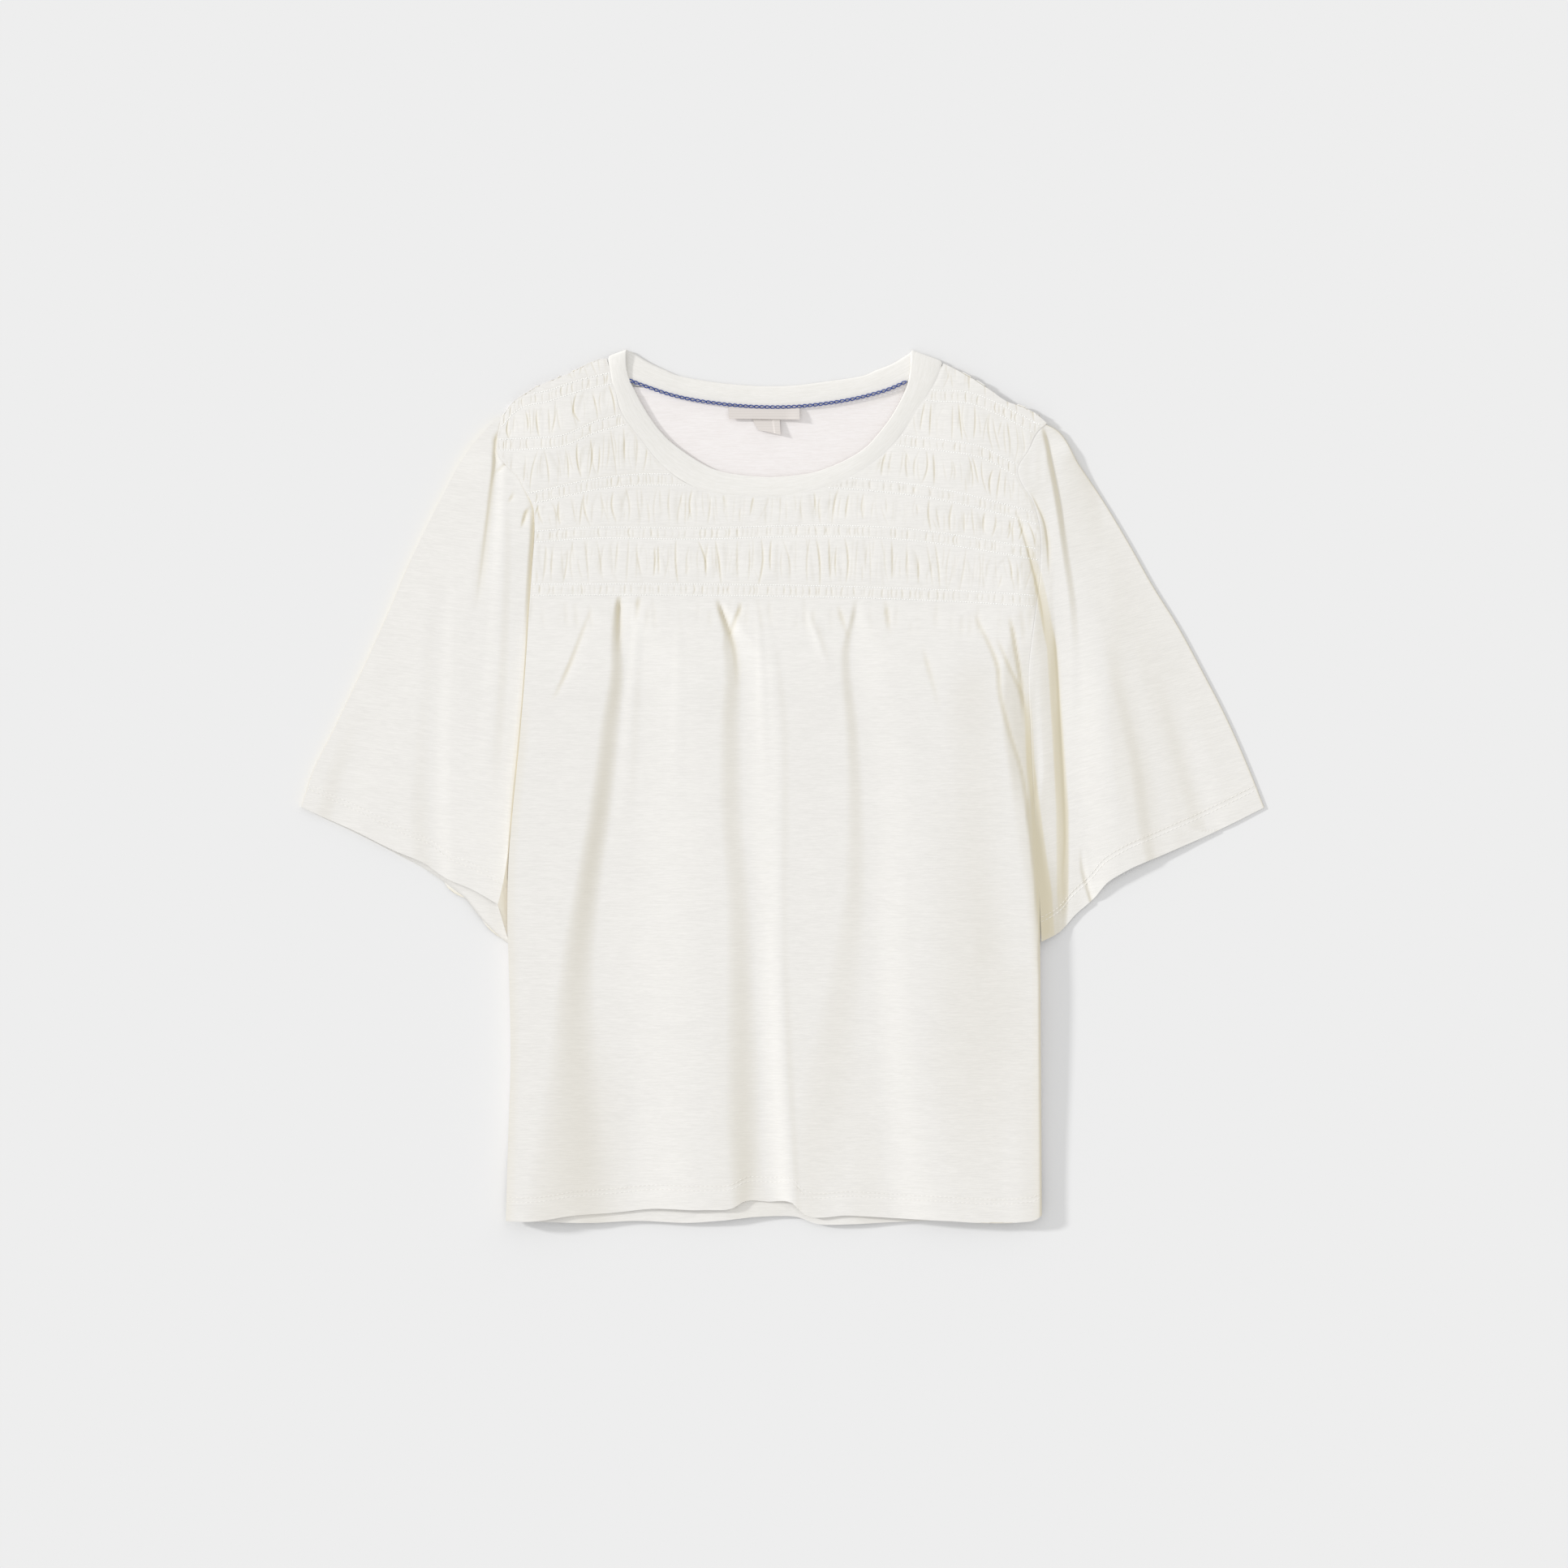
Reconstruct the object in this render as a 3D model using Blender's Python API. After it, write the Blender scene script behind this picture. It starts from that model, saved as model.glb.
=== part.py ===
"""Ruffle-sleeve t-shirt, laid flat on its back.

Slub jersey, seven pieces: a back, a front whose yoke is shirred with rows of elastic
thread, two wide sleeves, a neckband, a neck label and a size tab.
The shirt lies on the floor plane z = 0 with its neck towards +Y. The origin is at the
bottom centre of its bounding box. All tables and sizes are in millimetres.
"""
import bpy
import bmesh
import numpy as np

MM = 0.001
WALL = 1.0            # thickness of the jersey wall
BAND_WALL = 1.4       # the neckband is folded double
SEAM_GAP = 0.4        # clearance between sewn pieces, side by side
EDGE_GAP = 0.8        # the same between the rims of the front and the back, one over the other
UNDER_GAP = 0.8       # the same under the shirt, where the sleeve has fewer points
PANEL_CLEAR = 0.5     # least clearance between the front and the back under it
SIDE_SEAM_Z = 6.0     # height of the side, shoulder and armhole seams
SIDE_ROLL = 11.0      # width of the rounded side of the body
SHOULDER_ROLL = 8.0   # width of the rounded shoulder edge
YOKE_HEIGHT = 9.5     # height of the shirred yoke's surface
NECK_SEAM_Z = 8.0     # height of the front where the neckband is sewn on
NECK_FLAT = 2.0       # width of the front's flat rim at the neck seam
NECK_ROLL = 6.0       # width of the slope beside it, which dips under the neckband
SKIRT_HEIGHT = 13.0   # height of the loose cloth below the yoke
SKIRT_SWELL = 60.0    # length over which it swells to that height, below the yoke
SHIRR_DEPTH = 1.5     # how far a row of elastic sinks below the puffs beside it
SHIRR_SINK = 0.7      # share of that depth which lies below the yoke's height
SHIRR_HALF = 5.0      # half of the width of one tight band
ELASTIC_HALF = 1.0    # half of the width that the elastic itself holds flat
SHIRR_BELOW = 12.0    # reach of the lowest row's puffs below it
SHIRR_END = 10.0      # length over which a row fades at each of its ends
YOKE_LEFT_X = -174.0  # the rows of elastic end short of the armholes
YOKE_RIGHT_X = 156.0
FOLD_FADE = 30.0      # length over which a fold deepens below its top
SLEEVE_HEIGHT = 10.0  # height of the upper layer of a sleeve
SLEEVE_LEAST = 2.8    # least height of that layer, in its deepest folds
SLEEVE_EDGE_Z = 3.6   # height of the fold along a sleeve's outer edge
SLEEVE_ROLL = 5.0     # width of that rounded fold
SLEEVE_PART = 0.5     # how far each layer leaves the middle of that fold at once
UNDERARM_Y = 60.0     # where the armhole ends and the side seam starts
SIDE_FADE = 50.0      # length over which the back's side leaves the floor there
CORNER_START = -4.0   # the same for its shoulders, counted inwards from the armhole
CORNER_FADE = 14.0
LABEL = dict(x=-12.0, y=256.0, width=50.0, height=8.8, wall=0.8, base=WALL + 0.4, lift=1.2)
TAB = dict(x=-11.7, y=249.0, width=18.5, height=11.0, wall=0.5, base=WALL + 0.3, lift=0.0)
JERSEY = (0.84, 0.82, 0.77)   # linear colours and roughness of the two cloths
SATIN = (0.66, 0.64, 0.62)
JERSEY_ROUGHNESS = 0.9
SATIN_ROUGHNESS = 0.5
SHARP_ANGLE = 0.7             # radians between two faces that shade as an edge

# Outline of the body: y, then x of its left and right edge (armhole, then side seam)
BODY_LEFT = ((-299, -190.7), (-241, -189), (-185, -187.3), (-129, -188.4), (-81, -189),
             (-17, -185.6), (39, -181.7), (73, -179), (122, -176.7), (151, -175), (185, -172.2),
             (192, -172.4), (206, -178.4), (214, -182.5), (221, -190), (230, -196.5),
             (240, -196.5), (255, -193.5), (262, -191))
BODY_RIGHT = ((-297, 178.4), (-185, 177.8), (-106, 177.2), (-59, 176.1), (-19, 173.3),
              (39, 170.5), (84, 169.4), (118, 173.3), (151, 177.2), (185, 175.6), (199, 171),
              (209, 164.4), (219, 161.6), (232, 168.8), (247, 177.2), (251, 182), (260, 186))
# Top of the front: shoulder, neck seam, shoulder (x, y)
FRONT_TOP = ((-196, 252), (-193.5, 254.8), (-187.3, 263.8), (-170.5, 275.5), (-148, 285),
             (-126, 295), (-121.6, 295.7), (-117.3, 281.7), (-111.7, 258.7), (-98.3, 240.2),
             (-83.7, 222.3), (-68.6, 210.6), (-49, 203.3), (-21, 201), (-2.5, 201),
             (18.8, 204.4), (38.4, 210.6), (51.8, 217.3), (66.4, 227.4), (76.4, 236.9),
             (84.3, 247), (91, 259.8), (99.4, 269.9), (106.1, 282.8), (110.6, 292.3),
             (120.7, 287.3), (131.9, 281.1), (143, 273.8), (154.3, 266), (165.5, 262),
             (176.7, 255.9), (182.3, 250.9), (184, 249))
# Top of the back: the same shoulders, and the seam of the back neckband (x, y)
BACK_TOP = FRONT_TOP[:7] + ((-119.6, 291), (-117, 283), (-108, 277.4), (-92, 275), (-77, 270.2),
            (-62, 266.8), (-47, 264.6), (-32, 262.9), (-10, 261.8), (11.5, 262.3),
            (27.7, 264), (42.8, 266.3), (58, 269.6), (73, 274.1), (87, 279.6), (98, 282.4),
            (107, 288.5)) + FRONT_TOP[24:]
# Hems (x, y)
FRONT_HEM = ((-191, -298.5), (-174, -299), (-144, -295), (-114.5, -293), (-92, -290.6),
             (-54.6, -291.2), (-33.5, -289.5), (-27, -285.6), (-10, -285.6), (5.9, -286.2),
             (14.3, -294), (46.2, -295.1), (76, -296.8), (109, -298.5), (163, -299.6),
             (174, -298), (178.6, -295))
BACK_HEM = ((-191, -298), (-159, -299.6), (-130, -300.2), (-103, -299), (-62.4, -300.2),
            (-40, -298.5), (-17.6, -296.2), (-2.5, -295.7), (9.2, -296.2), (22, -300.7),
            (46, -301.3), (69, -300.2), (110, -298.5), (179, -294.5))

# Rows of elastic in the yoke, bottom to top, each a line of points (x, y)
SHIRR_ROWS = (
    ((-190, 136), (-165.5, 136.1), (-62.4, 136.1), (46.8, 134.4), (96, 132.7), (142, 130.5),
     (178, 128)),
    ((-190, 172), (-165.5, 173), (-144, 174.7), (-62.4, 174.7), (46.8, 176.4), (79.8, 174.7),
     (142, 166.3), (178, 160)),
    ((-190, 196), (-167, 200.5), (-128, 208.9), (-103, 211.7), (-70, 212), (50, 209),
     (79.8, 206.1), (112.3, 201), (153.7, 191), (178, 184)),
    ((-190, 236), (-172, 236.9), (-152.6, 238.6), (-128, 248.6), (-108.4, 253.7), (-60, 262),
     (40, 250), (84.3, 238.6), (112.3, 235.2), (136.9, 230.7), (159.9, 219), (178, 212)),
    ((-194, 252), (-185.6, 261.5), (-161, 269.9), (-134.7, 278.3), (-119.6, 281.7), (-60, 290),
     (60, 276), (104.4, 269.9), (129, 268.2), (153.7, 258.2), (175, 247), (184, 243)),
)
# Rows of the front below the yoke (y)
FRONT_LEVELS = (-299, -283, -240, -195, -150, -105, -60, -20, 20, UNDERARM_Y, 85, 105, 118)
BACK_COLUMNS_BETWEEN = (2, 2, 1, 1, 2, 3, 2)   # columns between the guides below, on the back
ROLLED_COLUMNS = (0.02, 0.2, 0.55)   # columns on the rounded sides, as shares of their width
NEAR = 0.5            # points this close to the underarm count as lying on it
SLEEVE_ROWS = (0, 0.004, 0.018, 0.08, 0.18, 0.3, 0.43, 0.56, 0.69, 0.81, 0.92, 1)
UPPER_SKIPS = (4, 5, 8, 11, 14, 17, 19)   # points of the armhole that a sleeve does without
RIM_SHARES = ((0, 0.004, 0.02), (0.965, 0.993, 1))   # a sleeve's columns at its two edges
KEPT_SHARES = (0.03, 0.95)                # the armhole's points between these give the others
UNDER_SKIPS = (4, 5, 8, 14, 15, 17, 18, 19, 20)
BACK_SKIPS = (3, 5, 7, 12, 14, 17, 20, 23, 25, 26)   # rows of the front that the back does without
TOP_ROWS = (4.4, 1.5, 0.15, 0.0)   # rows along the top edge, as distances below it
ROW_STEP = 0.6        # least distance between the rows that are pressed in below those
LOWEST_TOP = 190.0    # the top of each column is sought between these, by halving
HIGHEST_TOP = 299.0
HALVINGS = 40
LEAST_TURN = 0.3      # a normal that points this much to the wrong side is set upright
YOKE_Y = 150.0        # a level is read at the place where its column crosses this line

# Lines that the columns of the front follow: the folds that fall from the yoke (y, x)
COLUMN_GUIDES = (
    ((-299, -144.8), (-185, -144.8), (-128, -142.5), (-17, -126.3), (65, -116.2), (131, -112.8),
     (300, -112.8)),
    ((-290, -31.5), (-150, -33), (-24, -36), (65, -39), (106, -43), (135, -47), (300, -47)),
    ((-290, -20.4), (-150, -24.9), (-24, -30), (65, -33.9), (106, -38), (135, -42), (300, -42)),
    ((-290, 6.4), (-73, -2.5), (84, -6.4), (135, -10), (300, -10)),
    ((-299, 45), (-129, 50.7), (-54, 55.2), (35, 52.9), (80, 49), (127, 50.7), (300, 50.7)),
    ((-299, 120), (0, 125), (127, 132), (300, 132)),
)
COLUMNS_BETWEEN = (5, 7, 1, 3, 5, 6, 4)   # columns between those lines, on the front

# Folds of the front: depth (a ridge is positive), width on its left and on its right, the
# y of its foot and of its top, how much of the depth is left at the foot, and its line (y, x)
FRONT_FOLDS = (
    dict(name="left trough", depth=-8.5, left=9, right=24, foot=-300, top=133, at_foot=0.35,
         line=COLUMN_GUIDES[0]),
    dict(name="centre pleat", depth=-9.0, left=7, right=30, foot=-300, top=128, at_foot=0.9,
         line=COLUMN_GUIDES[2]),
    dict(name="right trough", depth=-6.0, left=9, right=17, foot=-150, top=128, at_foot=0.1,
         line=COLUMN_GUIDES[4]),
    dict(name="right hem trough", depth=-2.5, left=24, right=24, foot=-300, top=-100,
         at_foot=1.0, line=COLUMN_GUIDES[4]),
    dict(name="underarm fold", depth=-3.0, left=8, right=8, foot=0, top=125, at_foot=0.6,
         line=((8, 168), (60, 152), (90, 144), (120, 132))),
    dict(name="left swell", depth=1.6, left=24, right=30, foot=-300, top=120, at_foot=1.0,
         line=((-299, -95), (120, -82))),
    dict(name="right swell", depth=1.6, left=26, right=34, foot=-300, top=120, at_foot=1.0,
         line=((-299, 88), (120, 84))),
)
# Waves that lift the back's hem off the floor: x, half width, height
HEM_WAVES = ((-150, 28, 2.6), (-48, 24, 2.0), (44, 26, 1.6), (152, 30, 3.0))
HEM_WAVE_REACH = 70.0
HEM_Y = -300.0

# Left sleeve (x, y): outer edge from shoulder to tip, armhole, inner edge, hems
LEFT_OUTER = ((-194.5, 254.5), (-201.5, 252), (-219.8, 229.6), (-231.6, 207.2), (-245.6, 179.2),
              (-259, 151.2), (-270.8, 123.2), (-296.5, 67.2), (-310, 39.2), (-324, 11.2),
              (-332.0, -13.5))
LEFT_HEM = ((-332.0, -14.8), (-318, -21.3), (-298.4, -29.7), (-265.7, -45.4), (-248, -52.6),
            (-233.2, -62.6), (-213.6, -71), (-196.5, -80.6))
LEFT_HEM_UNDER = ((-332.0, -14.8), (-318, -22), (-298.4, -31), (-265.7, -48), (-233.8, -65),
                  (-230, -72), (-215.3, -80.1), (-205.8, -93.9), (-189.8, -106))
# Right sleeve
RIGHT_OUTER = ((183.5, 250.5), (187.9, 247), (204.7, 221.8), (221.5, 196.6), (238.3, 168.6),
               (255.1, 138.9), (271.9, 112), (288.7, 81.2), (305.5, 48.7), (322.3, 10.6),
               (332.0, -14))
RIGHT_HEM = ((332.0, -15.2), (296.5, -32.5), (265.6, -45.9), (234.7, -59.4), (223.9, -66.1),
             (214.5, -77), (202.4, -87.6), (190, -100.5), (178, -106.5))
RIGHT_HEM_UNDER = ((332.0, -15.2), (296.5, -31.5), (265.6, -44), (234.7, -57), (223.9, -63),
                   (213, -72), (202.4, -82), (190, -94), (178.0, -100))
LEFT_SLEEVE_FOLDS = (
    dict(name="cap trough", depth=-3.2, left=14, right=9, foot=30, top=238, at_foot=0.0,
         line=((30, -214), (95, -209.7), (151, -204), (218, -198), (240, -197))),
    dict(name="soft band", depth=-1.6, left=12, right=12, foot=-70, top=60, at_foot=1.0,
         line=((-70, -233), (0, -238), (60, -240))),
)
RIGHT_SLEEVE_FOLDS = (
    dict(name="trough by the body", depth=-5.5, left=9, right=10, foot=-108, top=110, at_foot=1.2,
         line=((-108, 183), (-20, 176.5), (40, 173.5), (110, 176))),
    dict(name="deep trough", depth=-6.0, left=7, right=7, foot=-85, top=200, at_foot=0.3,
         line=((-85, 191), (-20, 194.5), (50, 190), (89, 186.2), (122, 181), (180, 173))),
    dict(name="cap trough", depth=-4.0, left=8, right=8, foot=-10, top=244, at_foot=0.1,
         line=((-10, 206), (80, 205.8), (114, 205.2), (157, 198), (207, 188), (242, 180))),
    dict(name="soft band", depth=-2.2, left=13, right=13, foot=-60, top=75, at_foot=1.0,
         line=((-60, 258), (-12, 249), (54, 235), (75, 231))),
)

# Neckband, station by station: x, y, z of its free edge, then x, y, z of its sewn edge
NECKBAND = (
    # front, from the left shoulder to the right one
    (-108.0, 299.6, 8.9, -120.4, 293.6, 9.1), (-107.8, 289.5, 9.3, -119.0, 286.0, 9.7),
    (-105.6, 281, 9.5, -117.6, 278.0, 9.8), (-101.6, 272.7, 9.5, -114.2, 265.7, 9.8),
    (-97.2, 264.3, 9.5, -110.4, 254, 9.8), (-91, 254.2, 9.5, -104, 245, 9.8),
    (-83.7, 244.7, 9.5, -95, 234, 9.8), (-73.6, 235.2, 9.5, -83.4, 220.8, 9.8),
    (-54, 222.3, 9.5, -62.4, 207.4, 9.8), (-37.8, 216.7, 9.5, -42, 201.4, 9.8),
    (-13.2, 213.9, 9.5, -14, 200.1, 9.8), (3, 214.6, 9.5, 5, 200.8, 9.8),
    (19.9, 216.7, 9.5, 24.6, 205, 9.8), (34, 221.4, 9.5, 40.6, 210.4, 9.8),
    (46.8, 227.4, 9.5, 54.6, 217.8, 9.8), (56, 233.4, 9.5, 64.8, 225, 9.8),
    (63, 240.2, 9.5, 74, 233, 9.8), (74.8, 255.4, 9.5, 86, 248, 9.8),
    (84.3, 273.3, 9.5, 99.4, 268.4, 9.8), (87.6, 286.2, 9.3, 106.6, 281.6, 9.7),
    (88.2, 298.4, 8.9, 109.4, 290.4, 9.1),
    # over the right shoulder, along the back, and over the left shoulder
    (88.8, 300.4, 5.4, 109.2, 293.6, 5.4), (88.6, 300.2, 1.6, 105.6, 293.4, 1.6),
    (88, 299.8, 0.9, 98, 289.6, 1.0), (87.1, 299.2, 0.9, 87, 279.8, 2.2),
    (75.9, 292.3, 0.9, 73, 273.2, 2.2), (64.7, 287.8, 0.9, 58, 269, 2.2),
    (53.5, 283.4, 0.9, 43, 265.8, 2.2), (31, 280, 0.9, 27.7, 263.4, 2.2),
    (8.7, 277.2, 0.9, 8, 261.8, 2.2), (-10, 276.6, 0.9, -10, 261.5, 2.2),
    (-25, 277.2, 0.9, -25, 262, 2.2), (-47.3, 279.4, 0.9, -47, 264, 2.2),
    (-69.7, 283.4, 0.9, -62, 266.2, 2.2), (-81, 287.8, 0.9, -77, 269.6, 2.2),
    (-92, 292.9, 0.9, -92, 274.4, 2.2), (-103.3, 299.7, 0.9, -104, 279, 2.2),
    (-105.6, 300.6, 0.9, -113, 289, 1.0), (-106.6, 300.9, 1.6, -117.4, 294.2, 1.6),
    (-107.4, 301.2, 5.4, -119.6, 297.0, 5.4),
)


def curve(points):
    """A smooth line through the points: gives the second column at a first-column value."""
    table = np.array(sorted(points), dtype=float)
    at, value = table[:, 0], table[:, 1]
    slope = np.gradient(value, at)

    def read(t):
        t = np.clip(t, at[0], at[-1])
        k = np.clip(np.searchsorted(at, t) - 1, 0, len(at) - 2)
        span = at[k + 1] - at[k]
        u = (t - at[k]) / span
        return ((1 + 2 * u) * (1 - u) ** 2 * value[k] + u * (1 - u) ** 2 * span * slope[k]
                + u * u * (3 - 2 * u) * value[k + 1] + u * u * (u - 1) * span * slope[k + 1])

    return read


def straight(points):
    """The same with straight runs, where the line has corners."""
    table = np.array(sorted(points), dtype=float)
    return lambda t: np.interp(t, table[:, 0], table[:, 1])


def along(points, parts):
    """Points at equal distances along an open line."""
    line = np.array(points, dtype=float)
    steps = np.concatenate([[0], np.cumsum(np.linalg.norm(np.diff(line, axis=0), axis=1))])
    return [np.array([np.interp(f * steps[-1], steps, line[:, c]) for c in (0, 1)])
            for f in parts]


def distance(line, x, y):
    """How far a point is from an open line."""
    line = np.array(line, dtype=float)
    run = line[1:] - line[:-1]
    share = ((x - line[:-1, 0]) * run[:, 0] + (y - line[:-1, 1]) * run[:, 1]) / (run ** 2).sum(1)
    foot = line[:-1] + np.clip(share, 0, 1)[:, None] * run
    return float(np.hypot(foot[:, 0] - x, foot[:, 1] - y).min())


def smooth_step(t):
    t = min(max(t, 0.0), 1.0)
    return t * t * (3 - 2 * t)


def roll(distance, width):
    """A quarter of an ellipse: 0 on the edge, 1 from the width inwards."""
    q = min(max(distance / width, 0.0), 1.0)
    return (q * (2 - q)) ** 0.5


def fold_height(folds, x, y):
    """The sum of the folds at a point."""
    total = 0.0
    for fold in folds:
        if not fold["foot"] <= y <= fold["top"]:
            continue
        offset = x - float(curve(fold["line"])(y))
        width = fold["left"] if offset < 0 else fold["right"]
        if abs(offset) >= width:
            continue
        down = (fold["top"] - y) / (fold["top"] - fold["foot"])
        strength = smooth_step((fold["top"] - y) / FOLD_FADE) * (1 + down * (fold["at_foot"] - 1))
        total += fold["depth"] * strength * 0.5 * (1 + np.cos(np.pi * offset / width))
    return total


left_edge, right_edge = curve(BODY_LEFT), curve(BODY_RIGHT)
front_top, back_top = straight(FRONT_TOP), straight(BACK_TOP)
front_hem, back_hem = straight(FRONT_HEM), straight(BACK_HEM)
shirr_rows = [curve(row) for row in SHIRR_ROWS]
SHOULDERS = (FRONT_TOP[1:7], FRONT_TOP[24:-1])
NECK_SEAM = FRONT_TOP[6:25]


def shirring(x, y):
    """Puffs between the rows of elastic, and the narrow bands that the rows pull in."""
    if y < shirr_rows[0](x) - SHIRR_BELOW:
        return 0.0
    nearest = min(abs(y - float(row(x))) for row in shirr_rows)
    inside = smooth_step(min(x - YOKE_LEFT_X, YOKE_RIGHT_X - x) / SHIRR_END)
    puff = smooth_step((nearest - ELASTIC_HALF) / SHIRR_HALF)
    return inside * SHIRR_DEPTH * (puff - SHIRR_SINK)


def back_height(x, y):
    """The under face of the back: flat on the floor, with a lifted hem and rolled sides."""
    rise = sum(lift * 0.5 * (1 + np.cos(np.pi * (x - at) / half))
               for at, half, lift in HEM_WAVES if abs(x - at) < half)
    height = rise * smooth_step((HEM_Y + HEM_WAVE_REACH - y) / HEM_WAVE_REACH)
    side = min(x - float(left_edge(y)), float(right_edge(y)) - x)
    seam_z = (SIDE_SEAM_Z - EDGE_GAP) * smooth_step((UNDERARM_Y - y) / SIDE_FADE + 0.5)
    height += max(seam_z - height, 0) * (1 - roll(side, SIDE_ROLL))
    shoulder = min(distance(line, x, y) for line in SHOULDERS)
    shoulder_z = (SIDE_SEAM_Z - EDGE_GAP) * smooth_step((side - CORNER_START) / CORNER_FADE)
    return height + max(shoulder_z - height, 0) * (1 - roll(shoulder, SHOULDER_ROLL))


def front_height(x, y):
    """The outer face of the front."""
    skirt = smooth_step((float(shirr_rows[0](x)) - y) / SKIRT_SWELL)
    height = YOKE_HEIGHT + (SKIRT_HEIGHT - YOKE_HEIGHT) * skirt
    height += fold_height(FRONT_FOLDS, x, y) + shirring(x, y)
    dip = 1 - smooth_step((distance(NECK_SEAM, x, y) - NECK_FLAT) / NECK_ROLL)
    height += (NECK_SEAM_Z - height) * dip
    height = max(height, back_height(x, y) + 2 * WALL + PANEL_CLEAR)
    side = min(x - float(left_edge(y)), float(right_edge(y)) - x)
    height = SIDE_SEAM_Z + (height - SIDE_SEAM_Z) * roll(side, SIDE_ROLL)
    shoulder = min(distance(line, x, y) for line in SHOULDERS)
    return SIDE_SEAM_Z + (height - SIDE_SEAM_Z) * roll(shoulder, SHOULDER_ROLL)


def body_columns(guides, counts, top, hem):
    """Lines from the hem to the top edge, as functions of y, with the height of their top."""
    lines = [left_edge] + [curve(guide) for guide in guides] + [right_edge]
    columns = [lambda y, at=at: left_edge(y) + at * SIDE_ROLL for at in (0,) + ROLLED_COLUMNS]
    for left, right, count in zip(lines, lines[1:], counts):
        for k in range(count):
            share = k / count
            if left is left_edge:
                share = (k + 1) / (count + 1)
            columns.append(lambda y, a=left, b=right, s=share: a(y) + s * (b(y) - a(y)))
    columns += [lambda y, at=at: right_edge(y) - at * SIDE_ROLL
                for at in ROLLED_COLUMNS[::-1] + (0,)]
    placed = []
    for column in columns:
        low, high = LOWEST_TOP, HIGHEST_TOP
        for _ in range(HALVINGS):
            middle = (low + high) / 2
            low, high = (middle, high) if middle < top(column(middle)) else (low, middle)
        placed.append((column, low, float(hem(column(HEM_Y)))))
    return placed


def panel_grid(columns, levels, height):
    """Rows of points. The last rows follow the top edge, and a level that would pass them
    is pressed in below them."""
    grid = []
    for number, level in enumerate(levels):
        row = []
        for column, top, foot in columns:
            y = max(level(float(column(YOKE_Y))), foot + number) if number else foot
            y = min(y, top - TOP_ROWS[0] - ROW_STEP * (len(levels) - number))
            row.append((float(column(y)), y, height(float(column(y)), y)))
        grid.append(row)
    for drop in TOP_ROWS:
        grid.append([(float(column(top - drop)), top - drop,
                      height(float(column(top - drop)), top - drop))
                     for column, top, _ in columns])
    return np.array(grid)


def skin_normals(grid, ring):
    """Unit normals of a grid of points. A ring's rows close on themselves."""
    if ring:
        across = np.roll(grid, -1, axis=1) - np.roll(grid, 1, axis=1)
    else:
        across = np.gradient(grid, axis=1)
    normals = np.cross(across, np.gradient(grid, axis=0))
    return normals / np.linalg.norm(normals, axis=2, keepdims=True)


def shell(name, outer, inner, ring, colour, roughness):
    """A closed wall between two grids of points, as a named object with its material."""
    mesh = bmesh.new()
    rows, count = outer.shape[:2]
    skins = [[[mesh.verts.new(point * MM) for point in row] for row in grid]
             for grid in (outer, inner)]
    last = count if ring else count - 1
    for j in range(rows - 1):
        for i in range(last):
            k = (i + 1) % count
            a, b = skins
            mesh.faces.new((a[j][i], a[j][k], a[j + 1][k], a[j + 1][i]))
            mesh.faces.new((b[j][i], b[j + 1][i], b[j + 1][k], b[j][k]))
    for j in (0, rows - 1):
        for i in range(last):
            k = (i + 1) % count
            mesh.faces.new((skins[0][j][i], skins[0][j][k], skins[1][j][k], skins[1][j][i]))
    if not ring:
        for i in (0, count - 1):
            for j in range(rows - 1):
                mesh.faces.new((skins[0][j][i], skins[0][j + 1][i],
                                skins[1][j + 1][i], skins[1][j][i]))
    finish(name, mesh, colour, roughness)


def finish(name, mesh, colour, roughness):
    bmesh.ops.triangulate(mesh, faces=mesh.faces)
    bmesh.ops.recalc_face_normals(mesh, faces=mesh.faces)
    data = bpy.data.meshes.new(name)
    mesh.to_mesh(data)
    mesh.free()
    data.shade_smooth()
    data.set_sharp_from_angle(angle=SHARP_ANGLE)
    material = bpy.data.materials.new(name)
    material.use_nodes = True
    shader = material.node_tree.nodes["Principled BSDF"]
    shader.inputs["Base Color"].default_value = (*colour, 1.0)
    shader.inputs["Roughness"].default_value = roughness
    shader.inputs["Metallic"].default_value = 0.0
    data.materials.append(material)
    bpy.context.scene.collection.objects.link(bpy.data.objects.new(name, data))


def make_front():
    """One cut panel: the skirt gathers out of the shirred yoke, with no seam between them.
    Gives the points of its left and right edge, which the back and the sleeves share."""
    columns = body_columns(COLUMN_GUIDES, COLUMNS_BETWEEN, front_top, front_hem)
    levels = [lambda x, y=y: y for y in FRONT_LEVELS]
    for row in shirr_rows:
        levels += [lambda x, row=row, lift=lift: float(row(x)) + lift
                   for lift in (-SHIRR_HALF, 0, SHIRR_HALF)]
    outer = panel_grid(columns, levels, front_height)
    inner = outer - WALL * skin_normals(outer, False)
    shell("front_panel", outer, inner, False, JERSEY, JERSEY_ROUGHNESS)
    return outer[:, 0, :2], outer[:, -1, :2]


def make_back(left_seam, right_seam):
    """The back lies on the floor and rolls up to the front at the sides and shoulders."""
    columns = body_columns(COLUMN_GUIDES, BACK_COLUMNS_BETWEEN, back_top, back_hem)
    levels = []
    for (left_x, left_y), (right_x, right_y) in zip(left_seam, right_seam):
        levels.append(lambda x, a=left_x, b=left_y, c=right_x, d=right_y:
                      b + (d - b) * (x - a) / (c - a))
    kept = [level for number, level in enumerate(levels[:-len(TOP_ROWS)])
            if number not in BACK_SKIPS]
    under = panel_grid(columns, kept, back_height)
    outer = under + WALL * skin_normals(under, False)
    shell("back_panel", outer, under, False, JERSEY, JERSEY_ROUGHNESS)


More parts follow.
